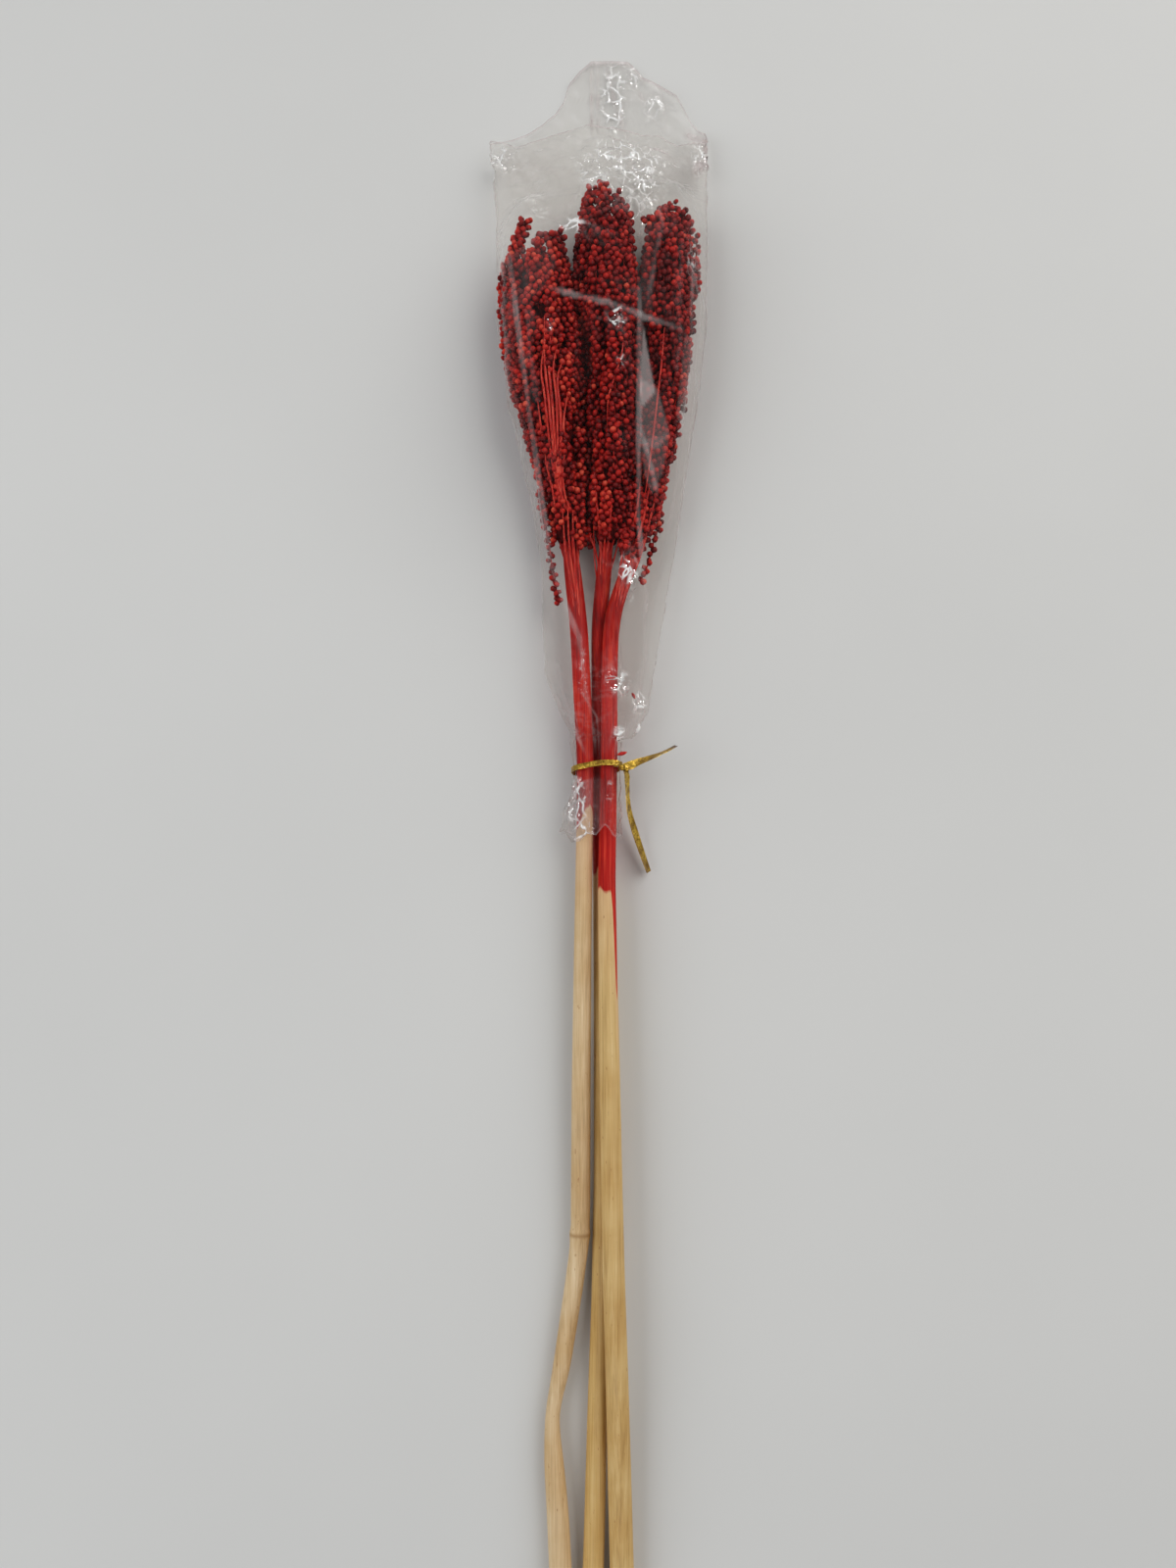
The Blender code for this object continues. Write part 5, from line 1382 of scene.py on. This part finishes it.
# The gold runs from dark to bright in patches: painted sheen and shade of crumpled foil
gold_sheen_and_shade = add_pattern(tree, 260, detail=3)
end_dark = add_node(tree, "ShaderNodeAttribute", attribute_name="end_dark").outputs["Fac"]
gold = add_ramp(tree, gold_sheen_and_shade, [(0.35, (0.26, 0.14, 0.012)), (0.65, (0.66, 0.42, 0.05))])
tree.links.new(add_blend(tree, end_dark, gold, (0.10, 0.035, 0.015)), shader.inputs["Base Color"])
tree.links.new(add_ramp(tree, wrinkles, [(0.3, (0.20,)), (0.7, (0.42,))]), shader.inputs["Roughness"])
add_bump(tree, shader, wrinkles, 0.35)

# %% Tie
TIE_WIDTH, TIE_FOIL = 4.0, 0.28
BAND_GAP = 2.15
BAND_SHARE = 0.64  # the band is seen narrower than the ribbon, because it curls over as it is pulled tight
ROWS_ACROSS = 6
WIRE_RISE, CREASE_RISE = 0.22, 0.12


def tie_strip(name, path, turns_along, width=TIE_WIDTH, dark_ends_and_knot_shade=(0.0, 0.0)):
    """A ribbon along a path, turned about it by angles in degrees, one for each point of the path."""
    start_fresh()
    count = len(path)
    bpy.ops.mesh.primitive_grid_add(x_subdivisions=count - 1, y_subdivisions=ROWS_ACROSS, size=1)
    strip = bpy.context.object
    strip.name = strip.data.name = name
    grid = places(strip.data) * MM + 0.5
    along = np.rint(grid[:, 0] * (count - 1)).astype(int)
    across = grid[:, 1] * 2 - 1
    path = np.array(path, float)
    forward = unit(np.gradient(path, axis=0))
    lift = np.array([0.0, 0.0, 1.0])
    side = unit(np.cross(forward, lift[None, :]))
    up = np.cross(side, forward)
    angle = np.radians(turns_along)[:, None]
    wide = np.cos(angle) * side + np.sin(angle) * up
    thick = np.cos(angle) * up - np.sin(angle) * side
    edge = WIRE_RISE * np.clip(np.abs(across) * 3 - 1.6, 0, 1)
    crease = CREASE_RISE * np.sin(along * 0.9) * (1 - np.abs(across))
    points = (path[along] + wide[along] * (across * width / 2)[:, None]
              + thick[along] * (edge + crease)[:, None])
    move_to(strip.data, points)
    share = along / (count - 1)
    # Darker towards its ends: the dark cut tip of a tail, and painted shade where a strip goes into the knot
    dark = np.maximum(dark_ends_and_knot_shade[0] * (1 - share / 0.12), dark_ends_and_knot_shade[1] * (share - 0.8) / 0.2)
    paint(strip.data, "end_dark", np.clip(dark, 0, 1))
    modifier = strip.modifiers.new("foil", "SOLIDIFY")
    modifier.thickness, modifier.offset = TIE_FOIL * MM, 0
    bpy.ops.object.modifier_apply(modifier=modifier.name)
    bpy.ops.object.shade_smooth_by_angle(angle=math.radians(40))
    return strip


print("a foil ribbon is", TIE_WIDTH, "mm wide")

# %% The band round the neck
ring = film_section(0.0, 96)
middle_of_ring = ring.mean(axis=0)
outwards = unit(ring - middle_of_ring)
ring = ring + outwards * (BAND_GAP - FILM_GAP - NECK_GAP)
start_fresh()
bpy.ops.mesh.primitive_cylinder_add(vertices=96, radius=1.0, depth=1.0, end_fill_type="NOTHING")
band = bpy.context.object
band.name = band.data.name = "tie_band"
bpy.ops.object.mode_set(mode="EDIT")
bpy.ops.mesh.select_all(action="SELECT")
bpy.ops.mesh.subdivide(number_cuts=1)
bpy.ops.object.mode_set(mode="OBJECT")
drum = places(band.data) * MM
turn = np.arctan2(drum[:, 1], drum[:, 0]) % (2 * math.pi)
ring_turn = np.arctan2(ring[:, 1] - middle_of_ring[1], ring[:, 0] - middle_of_ring[0]) % (2 * math.pi)
order = np.argsort(ring_turn)
wrap_turn = np.concatenate([ring_turn[order] + full * 2 * math.pi for full in (-1, 0, 1)])
far_out = np.hypot(*(ring - middle_of_ring).T)[order]
radius = np.interp(turn, wrap_turn, np.tile(far_out, 3))
bow = 1.1 * np.sin(turn) + 0.9 * np.cos(turn - 0.4)
edge = 0.18 * (np.abs(drum[:, 2]) * 2) ** 2
ripple = 0.10 * np.sin(turn * 23) + 0.08 * np.sin(turn * 41 + 1)
radius = radius + edge + ripple
along_bunch = drum[:, 2] * TIE_WIDTH * BAND_SHARE + bow - 0.3
move_to(band.data, np.stack([middle_of_ring[0] + radius * np.cos(turn), along_bunch,
                             middle_of_ring[1] + radius * np.sin(turn)], axis=1))
paint(band.data, "end_dark", np.zeros(len(band.data.vertices)))
modifier = band.modifiers.new("foil", "SOLIDIFY")
modifier.thickness, modifier.offset = TIE_FOIL * MM, 0
bpy.ops.object.modifier_apply(modifier=modifier.name)
bpy.ops.object.shade_smooth_by_angle(angle=math.radians(40))
hand_over(band, foil_finish, "gold_foil", "twist_tie")

# %% Knot and tails
KNOT = [(7.6, 0.6, 19.6), (9.4, -0.4, 20.4), (11.0, -1.4, 20.9), (12.6, -1.8, 20.8), (13.6, -2.0, 20.4)]
TAIL_UP = [(11.6, -1.2, 20.8), (15, 0.2, 20.2), (18, 1.6, 19.4), (25, 4.4, 17.8), (31, 7, 16.8),
           (36, 9.8, 16.2)]
TAIL_DOWN = [(11.8, -1.6, 20.6), (12.8, -5, 19.0), (13, -9, 16.8), (14, -20, 11.8), (18, -33, 7.0),
             (23.2, -47.6, 3.8)]
# How each tail is turned about its line, in degrees: shares of its length and the angles there
UP_TURNS = [(0, 20), (0.2, 8), (0.45, 40), (0.7, 66), (1, 70)]
DOWN_TURNS = [(0, 60), (0.2, 52), (0.5, 66), (0.75, 40), (1, 55)]
KNOT_POINTS, UP_POINTS, DOWN_POINTS = 20, 40, 52


def turns_of(table, count):
    """The angles at evenly spaced places along a tail."""
    shares, angles = zip(*table)
    return np.interp(np.linspace(0, 1, count), shares, angles)


knot_line = smooth_line(KNOT, KNOT_POINTS)
# Both knot strips are darkened at their ends as painted shade in the twist; the lower tail is darkest where
# it leaves the knot, and the upper tail at its cut tip
knot_one = tie_strip("tie_knot_one", knot_line, np.linspace(0, 400, KNOT_POINTS), 2.6, (0.7, 0.7))
hand_over(knot_one, foil_finish, "gold_foil", "twist_tie")
knot_two = tie_strip("tie_knot_two", knot_line + [0, 0, -0.4], np.linspace(180, 580, KNOT_POINTS), 2.4,
                     (0.8, 0.8))
hand_over(knot_two, foil_finish, "gold_foil", "twist_tie")
tail_up = tie_strip("tie_tail_up", smooth_line(TAIL_UP, UP_POINTS), turns_of(UP_TURNS, UP_POINTS),
                    dark_ends_and_knot_shade=(0, 1))
hand_over(tail_up, foil_finish, "gold_foil", "twist_tie")
tail_down = tie_strip("tie_tail_down", smooth_line(TAIL_DOWN, DOWN_POINTS),
                      turns_of(DOWN_TURNS, DOWN_POINTS), dark_ends_and_knot_shade=(1, 0.4))
hand_over(tail_down, foil_finish, "gold_foil", "twist_tie")
